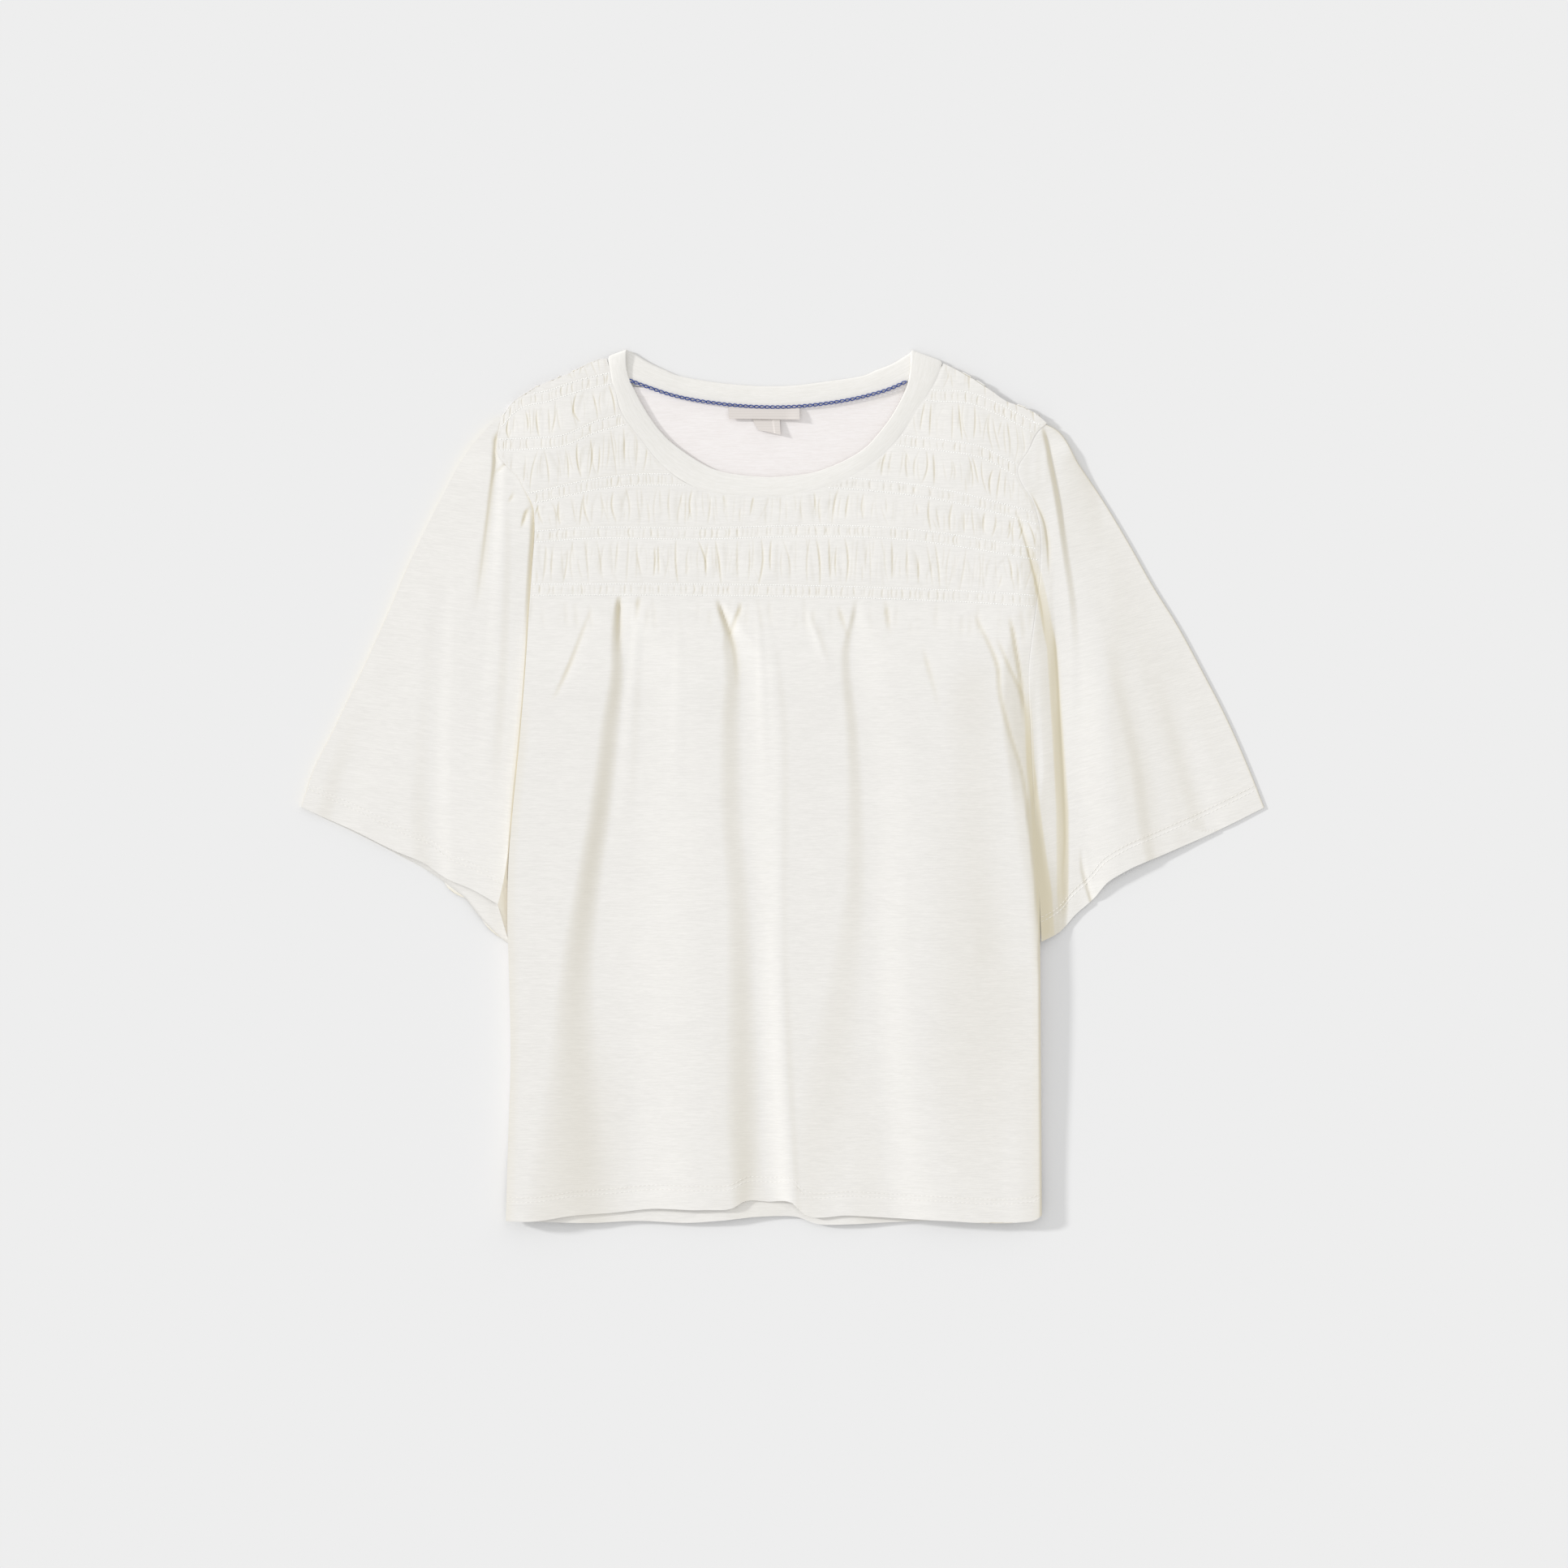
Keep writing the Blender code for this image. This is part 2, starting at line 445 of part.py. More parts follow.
def beside(seam, corner, side, gap):
    """The underarm edge of a sleeve: it follows the side seam and leaves it towards its end."""
    below = [point for point in seam[::-1]
             if corner[1] + SLEEVE_ROLL < point[1] <= UNDERARM_Y + NEAR]
    away = corner[0] - np.interp(corner[1], seam[:, 1], seam[:, 0]) - side * gap
    line = []
    for x, y in below:
        share = (UNDERARM_Y - y) / (UNDERARM_Y - corner[1])
        line.append((x + side * gap + away * share * share, y))
    return line + [corner]


def coons(outer_edge, inner_edge, armhole, hem, downs, top_shares, hem_shares):
    """A patch between four lines: outer and inner edge down, armhole and hem across."""
    def point(s, t):
        fs = downs[s]
        ft = (1 - fs) * top_shares[t] + fs * hem_shares[t]
        corners = ((1 - fs) * ((1 - ft) * armhole[0] + ft * armhole[-1])
                   + fs * ((1 - ft) * hem[0] + ft * hem[-1]))
        return ((1 - ft) * outer_edge[s] + ft * inner_edge[s]
                + (1 - fs) * armhole[t] + fs * hem[t] - corners)
    return point


def make_sleeve(name, side, crowding, seam, outer_edge, hem, hem_under, folds):
    """A flat, wide tube: the upper layer, a rounded fold on each edge, the under layer.
    Crowding above 1 draws its columns together towards the body, where it is pleated."""
    armhole = [point for point in seam[::-1] if point[1] >= UNDERARM_Y - NEAR]
    steps = np.concatenate([[0], np.cumsum(np.linalg.norm(np.diff(armhole, axis=0), axis=1))])
    shares = list(steps / steps[-1])
    layers = []
    for gap, skips, hem_line in ((SEAM_GAP, UPPER_SKIPS, hem),
                                 (UNDER_GAP, UNDER_SKIPS, hem_under)):
        start, end = RIM_SHARES
        kept = [share for k, share in enumerate(shares)
                if k not in skips and KEPT_SHARES[0] < share < KEPT_SHARES[1]]
        even = [1 - (1 - (k + 1) / (len(kept) + 1)) ** crowding for k in range(len(kept))]
        even = [start[-1] + (end[0] - start[-1]) * share for share in even]
        over, even = [*start, *kept, *end], [*start, *even, *end]
        hole = [point + (side * gap, 0) for point in along(armhole, over)]
        inner_edge = beside(seam, hem_line[-1], side, gap)
        patch = coons(along(outer_edge, SLEEVE_ROWS), along(inner_edge, SLEEVE_ROWS), hole,
                      along(hem_line, even), SLEEVE_ROWS, over, even)
        rows = []
        for s in range(len(SLEEVE_ROWS)):
            row = [patch(s, t) for t in range(len(over))]
            run = np.concatenate([[0], np.cumsum(np.linalg.norm(np.diff(row, axis=0), axis=1))])
            for t, (x, y) in enumerate(row):
                rounded = roll(run[t], SLEEVE_ROLL) * roll(run[-1] - run[t], SLEEVE_ROLL)
                if gap == SEAM_GAP:
                    z = max(SLEEVE_HEIGHT + fold_height(folds, x, y), SLEEVE_LEAST)
                    z = SLEEVE_EDGE_Z + SLEEVE_PART + (z - SLEEVE_EDGE_Z - SLEEVE_PART) * rounded
                    seam_roll = roll(np.linalg.norm(row[t] - hole[t]), SLEEVE_ROLL)
                    z = SIDE_SEAM_Z + (z - SIDE_SEAM_Z) * seam_roll if z > SIDE_SEAM_Z else z
                else:
                    z = (SLEEVE_EDGE_Z - SLEEVE_PART) * (1 - rounded)
                row[t] = (x, y, z)
            rows.append(row)
        layers.append(np.array(rows))
    ring = np.concatenate([layers[0], layers[1][:, ::-1]], axis=1)
    normals = skin_normals(ring, True) * side
    faces_up = np.ones(ring.shape[1])
    faces_up[layers[0].shape[1]:] = -1
    turned = normals[:, :, 2] * faces_up < -LEAST_TURN   # on the degenerate corner points
    upright = np.zeros(normals.shape)
    upright[:, :, 2] = faces_up
    normals[turned] = upright[turned]
    shell(name, ring, ring - WALL * normals, True, JERSEY, JERSEY_ROUGHNESS)


def make_neckband():
    """A folded strip round the neck: from its free edge to the seam, doubled over the
    shoulders where the shirt is folded flat."""
    table = np.array(NECKBAND, dtype=float)
    free, seam = table[:, :3], table[:, 3:]
    tangent = np.roll(free + seam, -1, axis=0) - np.roll(free + seam, 1, axis=0)
    normal = np.cross(tangent, free - seam)
    half = normal / np.linalg.norm(normal, axis=1, keepdims=True) * BAND_WALL / 2
    outer = np.stack([free + half, seam + half], axis=0)
    inner = np.stack([free - half, seam - half], axis=0)
    shell("neckband", outer, inner, True, JERSEY, JERSEY_ROUGHNESS)


def make_strip(name, size):
    """A small woven strip. Its lower edge is lifted a little, and its middle bulges."""
    across, up = np.linspace(-0.5, 0.5, 5), np.linspace(-0.5, 0.5, 3)
    under = np.array([[(size["x"] + a * size["width"], size["y"] + b * size["height"],
                        size["base"] + size["lift"] * (0.5 - b + 0.25 * np.cos(2 * np.pi * a)))
                       for a in across] for b in up])
    top = under + np.array((0, 0, size["wall"]))
    shell(name, top, under, False, SATIN, SATIN_ROUGHNESS)


for thing in list(bpy.data.objects):
    bpy.data.objects.remove(thing, do_unlink=True)
left_points, right_points = make_front()
make_back(left_points, right_points)
make_sleeve("sleeve_left", -1, 1.0, left_points, LEFT_OUTER, LEFT_HEM, LEFT_HEM_UNDER,
            LEFT_SLEEVE_FOLDS)
make_sleeve("sleeve_right", 1, 1.6, right_points, RIGHT_OUTER, RIGHT_HEM, RIGHT_HEM_UNDER,
            RIGHT_SLEEVE_FOLDS)
make_neckband()
make_strip("neck_label", LABEL)
make_strip("size_tab", TAB)
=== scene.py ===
import bpy
import numpy as np
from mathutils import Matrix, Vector


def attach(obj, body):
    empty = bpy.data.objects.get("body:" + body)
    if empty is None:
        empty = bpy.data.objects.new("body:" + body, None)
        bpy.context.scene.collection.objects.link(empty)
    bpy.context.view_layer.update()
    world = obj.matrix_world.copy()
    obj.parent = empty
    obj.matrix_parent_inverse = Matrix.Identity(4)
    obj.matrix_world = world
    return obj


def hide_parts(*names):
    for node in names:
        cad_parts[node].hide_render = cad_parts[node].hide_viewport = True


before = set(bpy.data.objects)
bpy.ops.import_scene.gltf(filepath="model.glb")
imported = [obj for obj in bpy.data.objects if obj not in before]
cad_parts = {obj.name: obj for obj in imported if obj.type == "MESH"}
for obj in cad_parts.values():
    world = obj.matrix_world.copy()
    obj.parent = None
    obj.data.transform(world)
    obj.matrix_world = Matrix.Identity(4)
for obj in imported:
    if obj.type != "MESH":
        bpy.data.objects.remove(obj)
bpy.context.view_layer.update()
bpy.ops.object.select_all(action="DESELECT")


# ==== Back panel ===========================================================================
# The back is cut in one piece from cotton slub jersey. It lies flat on the floor, curls up
# to the front at its sides and shoulders, and its inner face shows through the neck.
MM = 0.001            # the tables are in millimetres
# Outline of the body: y, then x of its left or right edge
BODY_LEFT = (
    (-299, -190.7), (-241, -189), (-185, -187.3), (-129, -188.4), (-81, -189.6), (-45, -188.4),
    (-17, -186), (39, -180.6), (73, -177.8), (122, -174.8), (151, -172.8), (185, -171.2),
    (192, -171.8), (206, -178.4), (214, -182.5), (221, -190), (230, -196.5), (240, -196.5),
    (255, -193.5), (262, -191))
BODY_RIGHT = (
    (-297, 178.4), (-185, 177.8), (-106, 177.2), (-59, 176.1), (-19, 173.3), (39, 170.5),
    (84, 169.4), (118, 173.3), (151, 177.2), (185, 175.6), (199, 171), (209, 164.4),
    (219, 161.6), (232, 168.8), (247, 177.2), (251, 182), (260, 186))
SHOULDER_LEFT = (
    (-193.5, 254.8), (-187.3, 263.8), (-170.5, 275.5), (-148, 285), (-126, 295),
    (-121.6, 295.7))
SHOULDER_RIGHT = (
    (110.6, 292.3), (120.7, 287.3), (131.9, 281.1), (143, 273.8), (154.3, 266), (165.5, 262),
    (176.7, 255.9), (182.3, 250.9))
BACK_NECK = (
    (-121.6, 295.7), (-119.6, 291), (-117, 283), (-108, 277.4), (-92, 275), (-77, 270.2),
    (-62, 266.8), (-47, 264.6), (-32, 262.9), (-10, 261.8), (11.5, 262.3), (27.7, 264),
    (42.8, 266.3), (58, 269.6), (73, 274.1), (87, 279.6), (98, 282.4), (107, 288.5),
    (110.6, 292.3))
BACK_HEM = (
    (-191, -298), (-159, -299.6), (-130, -300.2), (-103, -299), (-62.4, -300.2), (-40, -298.5),
    (-17.6, -296.2), (-2.5, -295.7), (9.2, -296.2), (22, -300.7), (46, -301.3), (69, -300.2),
    (110, -298.5), (178.4, -294.5))
# How high the hem of the back is lifted off the floor: x, height
BACK_HEM_LIFT = (
    (-191, 4.2), (-165, 5.2), (-145, 4.8), (-118, 2.4), (-90, 1.9), (-60, 2.6), (-40, 3.4),
    (-20, 2.4), (5, 1.4), (45, 2.6), (75, 1.4), (120, 1.4), (150, 2.6), (165, 3.6),
    (178.4, 3.4))
HEM_REACH, HEM_BEND = 90.0, 1.5   # how far up the panel that lift is felt, and how bent
HEM_Y = -300.0        # where the hem is, near enough
SHOULDER_Z = 2.2      # height of the folded shoulders
# Height of the armhole and side seams: y, left, right
SEAM_HEIGHTS = (
    (300, 2.2, 2.2), (262, 2.6, 2.6), (252, 3.1, 3.1), (240, 3.7, 3.7), (230, 4.2, 4.2),
    (214, 4.7, 4.6), (200, 4.3, 4.6), (186, 3.9, 4.5), (165, 3.7, 4.4), (140, 4.0, 4.4),
    (110, 4.4, 4.4), (60, 4.4, 4.4), (-300, 4.1, 4.3))
BACK_ROLL, SHOULDER_ROLL = 7.0, 0.1   # widths of the curled side and shoulder of the back
UNDER_FRONT = 0.1     # the back's edge stays this far under that of the front
# The curl of its sides fades in over this down from the arm, and that of its shoulders over
# this in from the armhole
CURL_FADE, CORNER_FADE = 60.0, 14.0
TAPE, TAPE_RISE, TAPE_EDGE = 5.0, 0.35, 0.8   # the neck seam allowance shows as a low step
KEY_ELEVATION, KEY_FROM = np.radians(18.0), np.radians(163.0)   # where the daylight comes from
UNDERARM_Y = 60.0     # the armhole ends and the side seam starts here
JERSEY_WALL = 0.8     # thickness of the jersey


def hermite(u, span, low, high, low_slope, high_slope):
    """A smooth cubic between two values, from its slopes there, at a share of the span."""
    return ((1 + 2 * u) * (1 - u) ** 2 * low + u * (1 - u) ** 2 * span * low_slope
            + u * u * (3 - 2 * u) * high + u * u * (u - 1) * span * high_slope)


def curve(points):
    """A smooth line through the points: the second column, read at a first-column value."""
    table = np.array(sorted(tuple(point[:2]) for point in points), dtype=float)
    at, value = table[:, 0], table[:, 1]
    slope = np.gradient(value, at)

    def read(t):
        t = np.clip(t, at[0], at[-1])
        k = np.clip(np.searchsorted(at, t) - 1, 0, len(at) - 2)
        span = at[k + 1] - at[k]
        return hermite((t - at[k]) / span, span, value[k], value[k + 1], slope[k], slope[k + 1])

    return read


def lengths(line):
    """The distance walked along a line at each of its points."""
    return np.concatenate([[0], np.cumsum(np.linalg.norm(np.diff(line, axis=0), axis=1))])


def smooth_line(points):
    """The line through the points, rounded and closely spaced."""
    line = np.array(points, dtype=float)
    run = lengths(line)
    at = np.linspace(0, run[-1], 800)
    return np.stack([curve(np.stack([run, line[:, c]], 1))(at) for c in (0, 1)], 1)


def along(line, shares):
    """Points of a line at shares of its length."""
    run = lengths(line)
    return np.stack([np.interp(shares * run[-1], run, line[:, c]) for c in (0, 1)], 1)


def smooth_step(t):
    """A soft ramp: 0 up to 0, 1 from 1 on."""
    t = np.clip(t, 0.0, 1.0)
    return t * t * (3 - 2 * t)


def roll(distance, width):
    """A quarter of an ellipse: 0 on the edge, 1 from the width inwards."""
    q = np.clip(distance / width, 0.0, 1.0)
    return np.sqrt(q * (2 - q))


def distance_to(line, x, y):
    """How far points are from an open line."""
    nearest = np.full(np.shape(x), 1e9)
    for (ax, ay), (bx, by) in zip(line[:-1], line[1:]):
        rx, ry = bx - ax, by - ay
        share = np.clip(((x - ax) * rx + (y - ay) * ry) / (rx * rx + ry * ry), 0, 1)
        nearest = np.minimum(nearest, np.hypot(ax + share * rx - x, ay + share * ry - y))
    return nearest


RIM = (0, 0.1, 0.13, 0.35, 0.65, 1.15, 1.8)   # grid lines crowd towards an edge at these distances


def spaced(steps, length):
    """Shares from 0 to 1 in so many steps, closer together near both ends."""
    near = np.array(RIM[:-1]) / length
    inner = np.linspace(RIM[-1] / length, 1 - RIM[-1] / length, steps - 2 * len(near) + 1)
    return np.concatenate([near, inner, 1 - near[::-1]])


def patch(bottom, top, left, right, across, up):
    """A flat grid of points between four lines, at shares across and up them."""
    b, t = along(bottom, across)[None], along(top, across)[None]
    l, r = along(left, up)[:, None], along(right, up)[:, None]
    u, v = across[None, :, None], up[:, None, None]
    corners = ((1 - u) * (1 - v) * b[:, :1] + u * (1 - v) * b[:, -1:]
               + (1 - u) * v * t[:, :1] + u * v * t[:, -1:])
    return (1 - v) * b + v * t + (1 - u) * l + u * r - corners


def skin_normals(grid, ring=False):
    """Unit normals of a grid of points. The rows of a ring close on themselves."""
    if ring:
        across = np.roll(grid, -1, axis=1) - np.roll(grid, 1, axis=1)
    else:
        across = np.gradient(grid, axis=1)
    normals = np.cross(across, np.gradient(grid, axis=0))
    return normals / np.maximum(np.linalg.norm(normals, axis=2, keepdims=True), 1e-9)


def lowest_near(values, reach):
    """The least value within so many grid lines of each point."""
    least = values.copy()
    for axis in (0, 1):
        source = least.copy()
        for shift in range(1, reach + 1):
            ahead, behind = np.roll(source, -shift, axis), np.roll(source, shift, axis)
            edge = [slice(None)] * 2
            edge[axis] = slice(-shift, None)
            ahead[tuple(edge)] = source[tuple(edge)]
            edge[axis] = slice(0, shift)
            behind[tuple(edge)] = source[tuple(edge)]
            least = np.minimum(least, np.minimum(ahead, behind))
    return least


def turned(normals):
    """How far each place of a face is turned from the daylight, from 0 to 1."""
    toward = np.array((np.cos(KEY_FROM) * np.cos(KEY_ELEVATION),
                       np.sin(KEY_FROM) * np.cos(KEY_ELEVATION), np.sin(KEY_ELEVATION)))
    return np.clip(1 - normals @ toward / toward[2], 0, 1)


TURNED_SHADE_SHARE = 0.55   # how much painted shade, in the warm colour of the folds, a place turned from the daylight takes on


def new_piece(name, points, faces):
    """A smooth object of points in millimetres."""
    mesh = bpy.data.meshes.new(name)
    mesh.from_pydata((points * MM).tolist(), [], faces)
    mesh.shade_smooth()
    piece = bpy.data.objects.new(name, mesh)
    bpy.context.scene.collection.objects.link(piece)
    return piece


def lay_out(mesh, places):
    """Gives every corner its place on the flat cloth, from the place of each point."""
    corner = np.zeros(len(mesh.loops), dtype=np.int32)
    mesh.loops.foreach_get("vertex_index", corner)
    flat = (places * MM)[corner].astype(np.float32)
    mesh.uv_layers.new(name="cloth").data.foreach_set("uv", flat.ravel())


def cloth(name, outer, inner, step, ring=False, grain=None, fold=0.0):
    """A closed wall of jersey. outer is the fine face and inner the coarse one, which has
    every step-th grid line. grain is the cloth's own place of each point, for its knit, and
    fold is how much painted shade each point takes, from 0 to 1, to which painted shade
    where the face is turned from the daylight is added."""
    fine = outer.shape[0] * outer.shape[1]
    top = np.arange(fine).reshape(outer.shape[:2])
    low = fine + np.arange(inner.shape[0] * inner.shape[1]).reshape(inner.shape[:2])
    if ring:
        top, low = np.concatenate([top, top[:, :1]], 1), np.concatenate([low, low[:, :1]], 1)
    faces = []
    for grid, turn in ((top, 1), (low, -1)):
        around = (grid[:-1, :-1], grid[:-1, 1:], grid[1:, 1:], grid[1:, :-1])
        order = around if turn > 0 else (around[0], *around[:0:-1])
        faces += np.stack(order, -1).reshape(-1, 4).tolist()

    def rim(edge, coarse, turned):
        for k in range(len(coarse) - 1):
            part = edge[k * step:(k + 1) * step + 1].tolist()
            face = [coarse[k], coarse[k + 1], *part[::-1]]
            faces.append(face[::-1] if turned else face)

    rim(top[0], low[0].tolist(), False)
    rim(top[-1], low[-1].tolist(), True)
    if not ring:
        rim(top[:, 0], low[:, 0].tolist(), True)
        rim(top[:, -1], low[:, -1].tolist(), False)
    piece = new_piece(name, np.concatenate([outer.reshape(-1, 3), inner.reshape(-1, 3)]), faces)
    if grain is None:
        grain = outer[:, :, :2]
    lay_out(piece.data, np.concatenate([grain.reshape(-1, 2),
                                        grain[::step, ::step].reshape(-1, 2)]))
    # Painted shade: the fold attribute darkens and warms the colour of each point
    depth = np.zeros(len(piece.data.vertices), dtype=np.float32)
    shade = fold + TURNED_SHADE_SHARE * turned(skin_normals(outer, ring))
    depth[:fine] = np.clip(shade, 0, 1).ravel()
    piece.data.attributes.new("fold", "FLOAT", "POINT").data.foreach_set("value", depth)
    piece.data.set_sharp_from_angle(angle=1.0)
    return piece


def new_material(name, **looks):
    """A material with its node tree and shader. looks are the shader's plain settings."""
    material = bpy.data.materials.new(name)
    material.use_nodes = True
    shader = material.node_tree.nodes["Principled BSDF"]
    for key, value in looks.items():
        shader.inputs[key.replace("_", " ")].default_value = value
    return material, material.node_tree, shader


def linear(colour):
    """An sRGB hex colour as linear red, green, blue and 1."""
    parts = [int(colour[k:k + 2], 16) / 255 for k in (1, 3, 5)]
    return (*[p / 12.92 if p <= 0.04045 else ((p + 0.055) / 1.055) ** 2.4 for p in parts], 1.0)


def add(tree, kind, links=(), values=(), **settings):
    """Adds a node to a material: links are (socket, node, output), values (socket, value)."""
    node = tree.nodes.new(kind)
    for key, setting in settings.items():
        setattr(node, key, setting)
    for socket, value in values:
        node.inputs[socket].default_value = value
    for socket, source, output in links:
        tree.links.new(source.outputs[output], node.inputs[socket])
    return node


def two_tones(tree, shader, source, output, dark, light):
    """Colours a surface between two tones, by the output of a pattern."""
    tone = add(tree, "ShaderNodeMix", [("Factor", source, output)],
               [(6, linear(dark)), (7, linear(light))], data_type="RGBA")
    tree.links.new(tone.outputs[2], shader.inputs["Base Color"])
    return tone


def raised(tree, shader, source, output, strength, height):
    """Raises a surface a little by the output of a pattern, so that it catches the light."""
    bump = add(tree, "ShaderNodeBump", [("Height", source, output)],
               [("Strength", strength), ("Distance", height * MM)])
    tree.links.new(bump.outputs["Normal"], shader.inputs["Normal"])


SLUB = (17.0, 1.1)       # length and height of a thick place in the yarn, drawn a little coarse
FINE_SLUB = (6.0, 0.6)
KNIT = 0.55              # spacing of the stitches of the knit
MOTTLE = (24.0, 11.0)    # patches where the cloth is a little thicker or thinner


def slub_jersey(name, light, dark, warm, slant=0.0):
    """Cotton slub jersey: matt, with short streaks where the yarn swells. The streaks catch
    the light as faint raised lines. Painted shade: by the fold attribute, the colour is mixed
    towards a darker warm tone in folds and where the cloth is turned from the daylight."""
    material, tree, shader = new_material(name, Roughness=0.92, Specular_IOR_Level=0.25,
                                          Sheen_Weight=0.06, Sheen_Roughness=0.6)
    place = add(tree, "ShaderNodeUVMap", uv_map="cloth")

    def grain(size, detail, rough, distortion):
        scale = (1 / (size[0] * MM), 1 / (size[1] * MM), 1)
        turned = add(tree, "ShaderNodeMapping", [("Vector", place, "UV")],
                     [("Scale", scale), ("Rotation", (0, 0, slant))])
        return add(tree, "ShaderNodeTexNoise", [("Vector", turned, "Vector")],
                   [("Scale", 1.0), ("Detail", detail), ("Roughness", rough),
                    ("Distortion", distortion)])

    def spread(source, output, low, high):
        return add(tree, "ShaderNodeMapRange", [("Value", source, output)],
                   [("From Min", low), ("From Max", high)])

    def total(one, socket, other, other_socket):
        return add(tree, "ShaderNodeMath", [(0, one, socket), (1, other, other_socket)],
                   operation="ADD")

    slubs, fine = grain(SLUB, 3, 0.6, 0.9), grain(FINE_SLUB, 2, 0.6, 0.5)
    knit, mottle = grain((KNIT, KNIT), 1, 0.5, 0.0), grain(MOTTLE, 3, 0.6, 0.8)
    streak, thin = spread(slubs, "Fac", 0.36, 0.66), spread(fine, "Fac", 0.34, 0.68)
    both = total(streak, "Result", thin, "Result")
    share = spread(total(both, 0, mottle, "Fac"), 0, 0.7, 2.3)
    yarn = two_tones(tree, shader, share, "Result", dark, light)
    # Painted shade: the fold attribute mixes the yarn colour towards the darker warm tone
    depth = add(tree, "ShaderNodeAttribute", attribute_name="fold")
    colour = add(tree, "ShaderNodeMix", [("Factor", depth, "Fac"), (6, yarn, 2)],
                 [(7, linear(warm))], data_type="RGBA")
    tree.links.new(colour.outputs[2], shader.inputs["Base Color"])
    raised(tree, shader, total(both, 0, knit, "Fac"), 0, 0.32, 0.05)
    return material


# The third colour is painted shade, mixed in along folds and where the cloth is turned from the
# daylight
FACE_LIGHT, FACE_DARK, PAINTED_FOLD_SHADE = "#EBE9E5", "#E3E1DD", "#DED5BC"
jersey_face = slub_jersey("cotton slub jersey", FACE_LIGHT, FACE_DARK, PAINTED_FOLD_SHADE)
# The inside looks cooler and a little rosier, because its loops scatter the light; its third
# colour is the painted shade of its folds
jersey_inside = slub_jersey("inside of the jersey", "#F0ECEB", "#E9E4E2", "#E6DFD2", 0.03)
left_edge, right_edge = curve(BODY_LEFT), curve(BODY_RIGHT)
back_lift = curve(BACK_HEM_LIFT)
left_seam_z, right_seam_z = [curve([(row[0], row[c]) for row in SEAM_HEIGHTS]) for c in (1, 2)]


def seam_height(x, y):
    """The height of the seam along the body's side and armhole."""
    return np.where(x < 0, left_seam_z(y), right_seam_z(y))


def inward(x, y):
    """How far inside the body's left or right edge a point is."""
    return np.minimum(x - left_edge(y), right_edge(y) - x)


def shoulder_distance(x, y):
    """How far points are from the nearer shoulder."""
    return np.minimum(distance_to(SHOULDER_LEFT, x, y), distance_to(SHOULDER_RIGHT, x, y))


def back_height(x, y):
    """The height of the face of the back that lies on the floor."""
    height = back_lift(x) * smooth_step((HEM_Y + HEM_REACH - y) / HEM_REACH) ** HEM_BEND
    below_front = JERSEY_WALL + UNDER_FRONT
    curl = (seam_height(x, y) - below_front) * smooth_step(
        (UNDERARM_Y - y) / CURL_FADE + 0.5)
    height = height + np.maximum(curl - height, 0) * (1 - roll(inward(x, y), BACK_ROLL))
    shoulder = (SHOULDER_Z - below_front) * smooth_step((inward(x, y) + 4) / CORNER_FADE)
    return height + np.maximum(shoulder - height, 0) * (
        1 - roll(shoulder_distance(x, y), SHOULDER_ROLL))


def edge_line(edge, low, high):
    """The body's left or right edge between two heights y."""
    y = np.linspace(low, high, 500)
    return np.stack([edge(y), y], 1)


back_left = edge_line(left_edge, BACK_HEM[0][1], SHOULDER_LEFT[0][1])
back_right = edge_line(right_edge, BACK_HEM[-1][1], SHOULDER_RIGHT[-1][1])
back_bottom = smooth_line([back_left[0], *BACK_HEM[1:-1], back_right[0]])
back_top = np.concatenate([smooth_line([back_left[-1], *SHOULDER_LEFT[1:]]),
                           smooth_line(BACK_NECK)[1:],
                           smooth_line([*SHOULDER_RIGHT[:-1], back_right[-1]])[1:]])
back_flat = patch(back_bottom, back_top, back_left, back_right,
                  spaced(156, 370), spaced(240, 555))
x, y = back_flat[:, :, 0], back_flat[:, :, 1]
to_neck = distance_to(BACK_NECK, x, y)
floor_side = back_height(x, y)
tape = TAPE_RISE * smooth_step((TAPE - to_neck) / TAPE_EDGE)
inside = np.dstack([x, y, floor_side + JERSEY_WALL + tape])
back = cloth("back_panel_cloth", inside, np.dstack([x, y, floor_side])[::2, ::2], 2)
back.data.materials.append(jersey_inside)
back.data.materials.append(jersey_face)
HEM_DEPTH = 15.0      # the hem is turned up inside, so its inner side shows the cloth's face
for face in back.data.polygons:
    if face.center.y < (HEM_Y + 3 + HEM_DEPTH) * MM:
        face.material_index = 1
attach(back, "root")
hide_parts("back_panel")


# ==== Front panel ==========================================================================
# The front is one cut piece of the same jersey. Pairs of elastic thread gather its upper
# third into tight beaded bands with loose puffs between them, and the rest falls in folds.
FRONT_NECK = (
    (-121.6, 295.7), (-117.3, 281.7), (-111.7, 258.7), (-98.3, 240.2), (-83.7, 222.3),
    (-68.6, 210.6), (-49, 203.3), (-21, 201), (-2.5, 201), (18.8, 204.4), (38.4, 210.6),
    (51.8, 217.3), (66.4, 227.4), (76.4, 236.9), (84.3, 247), (91, 259.8), (99.4, 269.9),
    (106.1, 282.8), (110.6, 292.3))
FRONT_HEM = (
    (-190.7, -298.5), (-174, -299), (-144, -295), (-114.5, -293), (-92, -290.6),
    (-54.6, -291.2), (-33.5, -289.5), (-27, -285.6), (-10, -285.6), (5.9, -286.2), (14.3, -294),
    (46.2, -295.1), (76, -296.8), (109, -298.5), (163, -299.6), (174, -298), (178.4, -295))
# Height of the front along its hem: x, height
FRONT_HEM_LIFT = (
    (-190.7, 9.4), (-165, 9.5), (-145, 9.3), (-118, 7.4), (-90, 6.2), (-60, 5.8), (-40, 6.0),
    (-20, 6.0), (5, 5.6), (20, 5.8), (45, 6.4), (75, 5.6), (120, 5.6), (150, 5.9), (165, 6.3),
    (178.4, 6.0))
FRONT_HEM_REACH = 170.0   # how far up the front that is felt
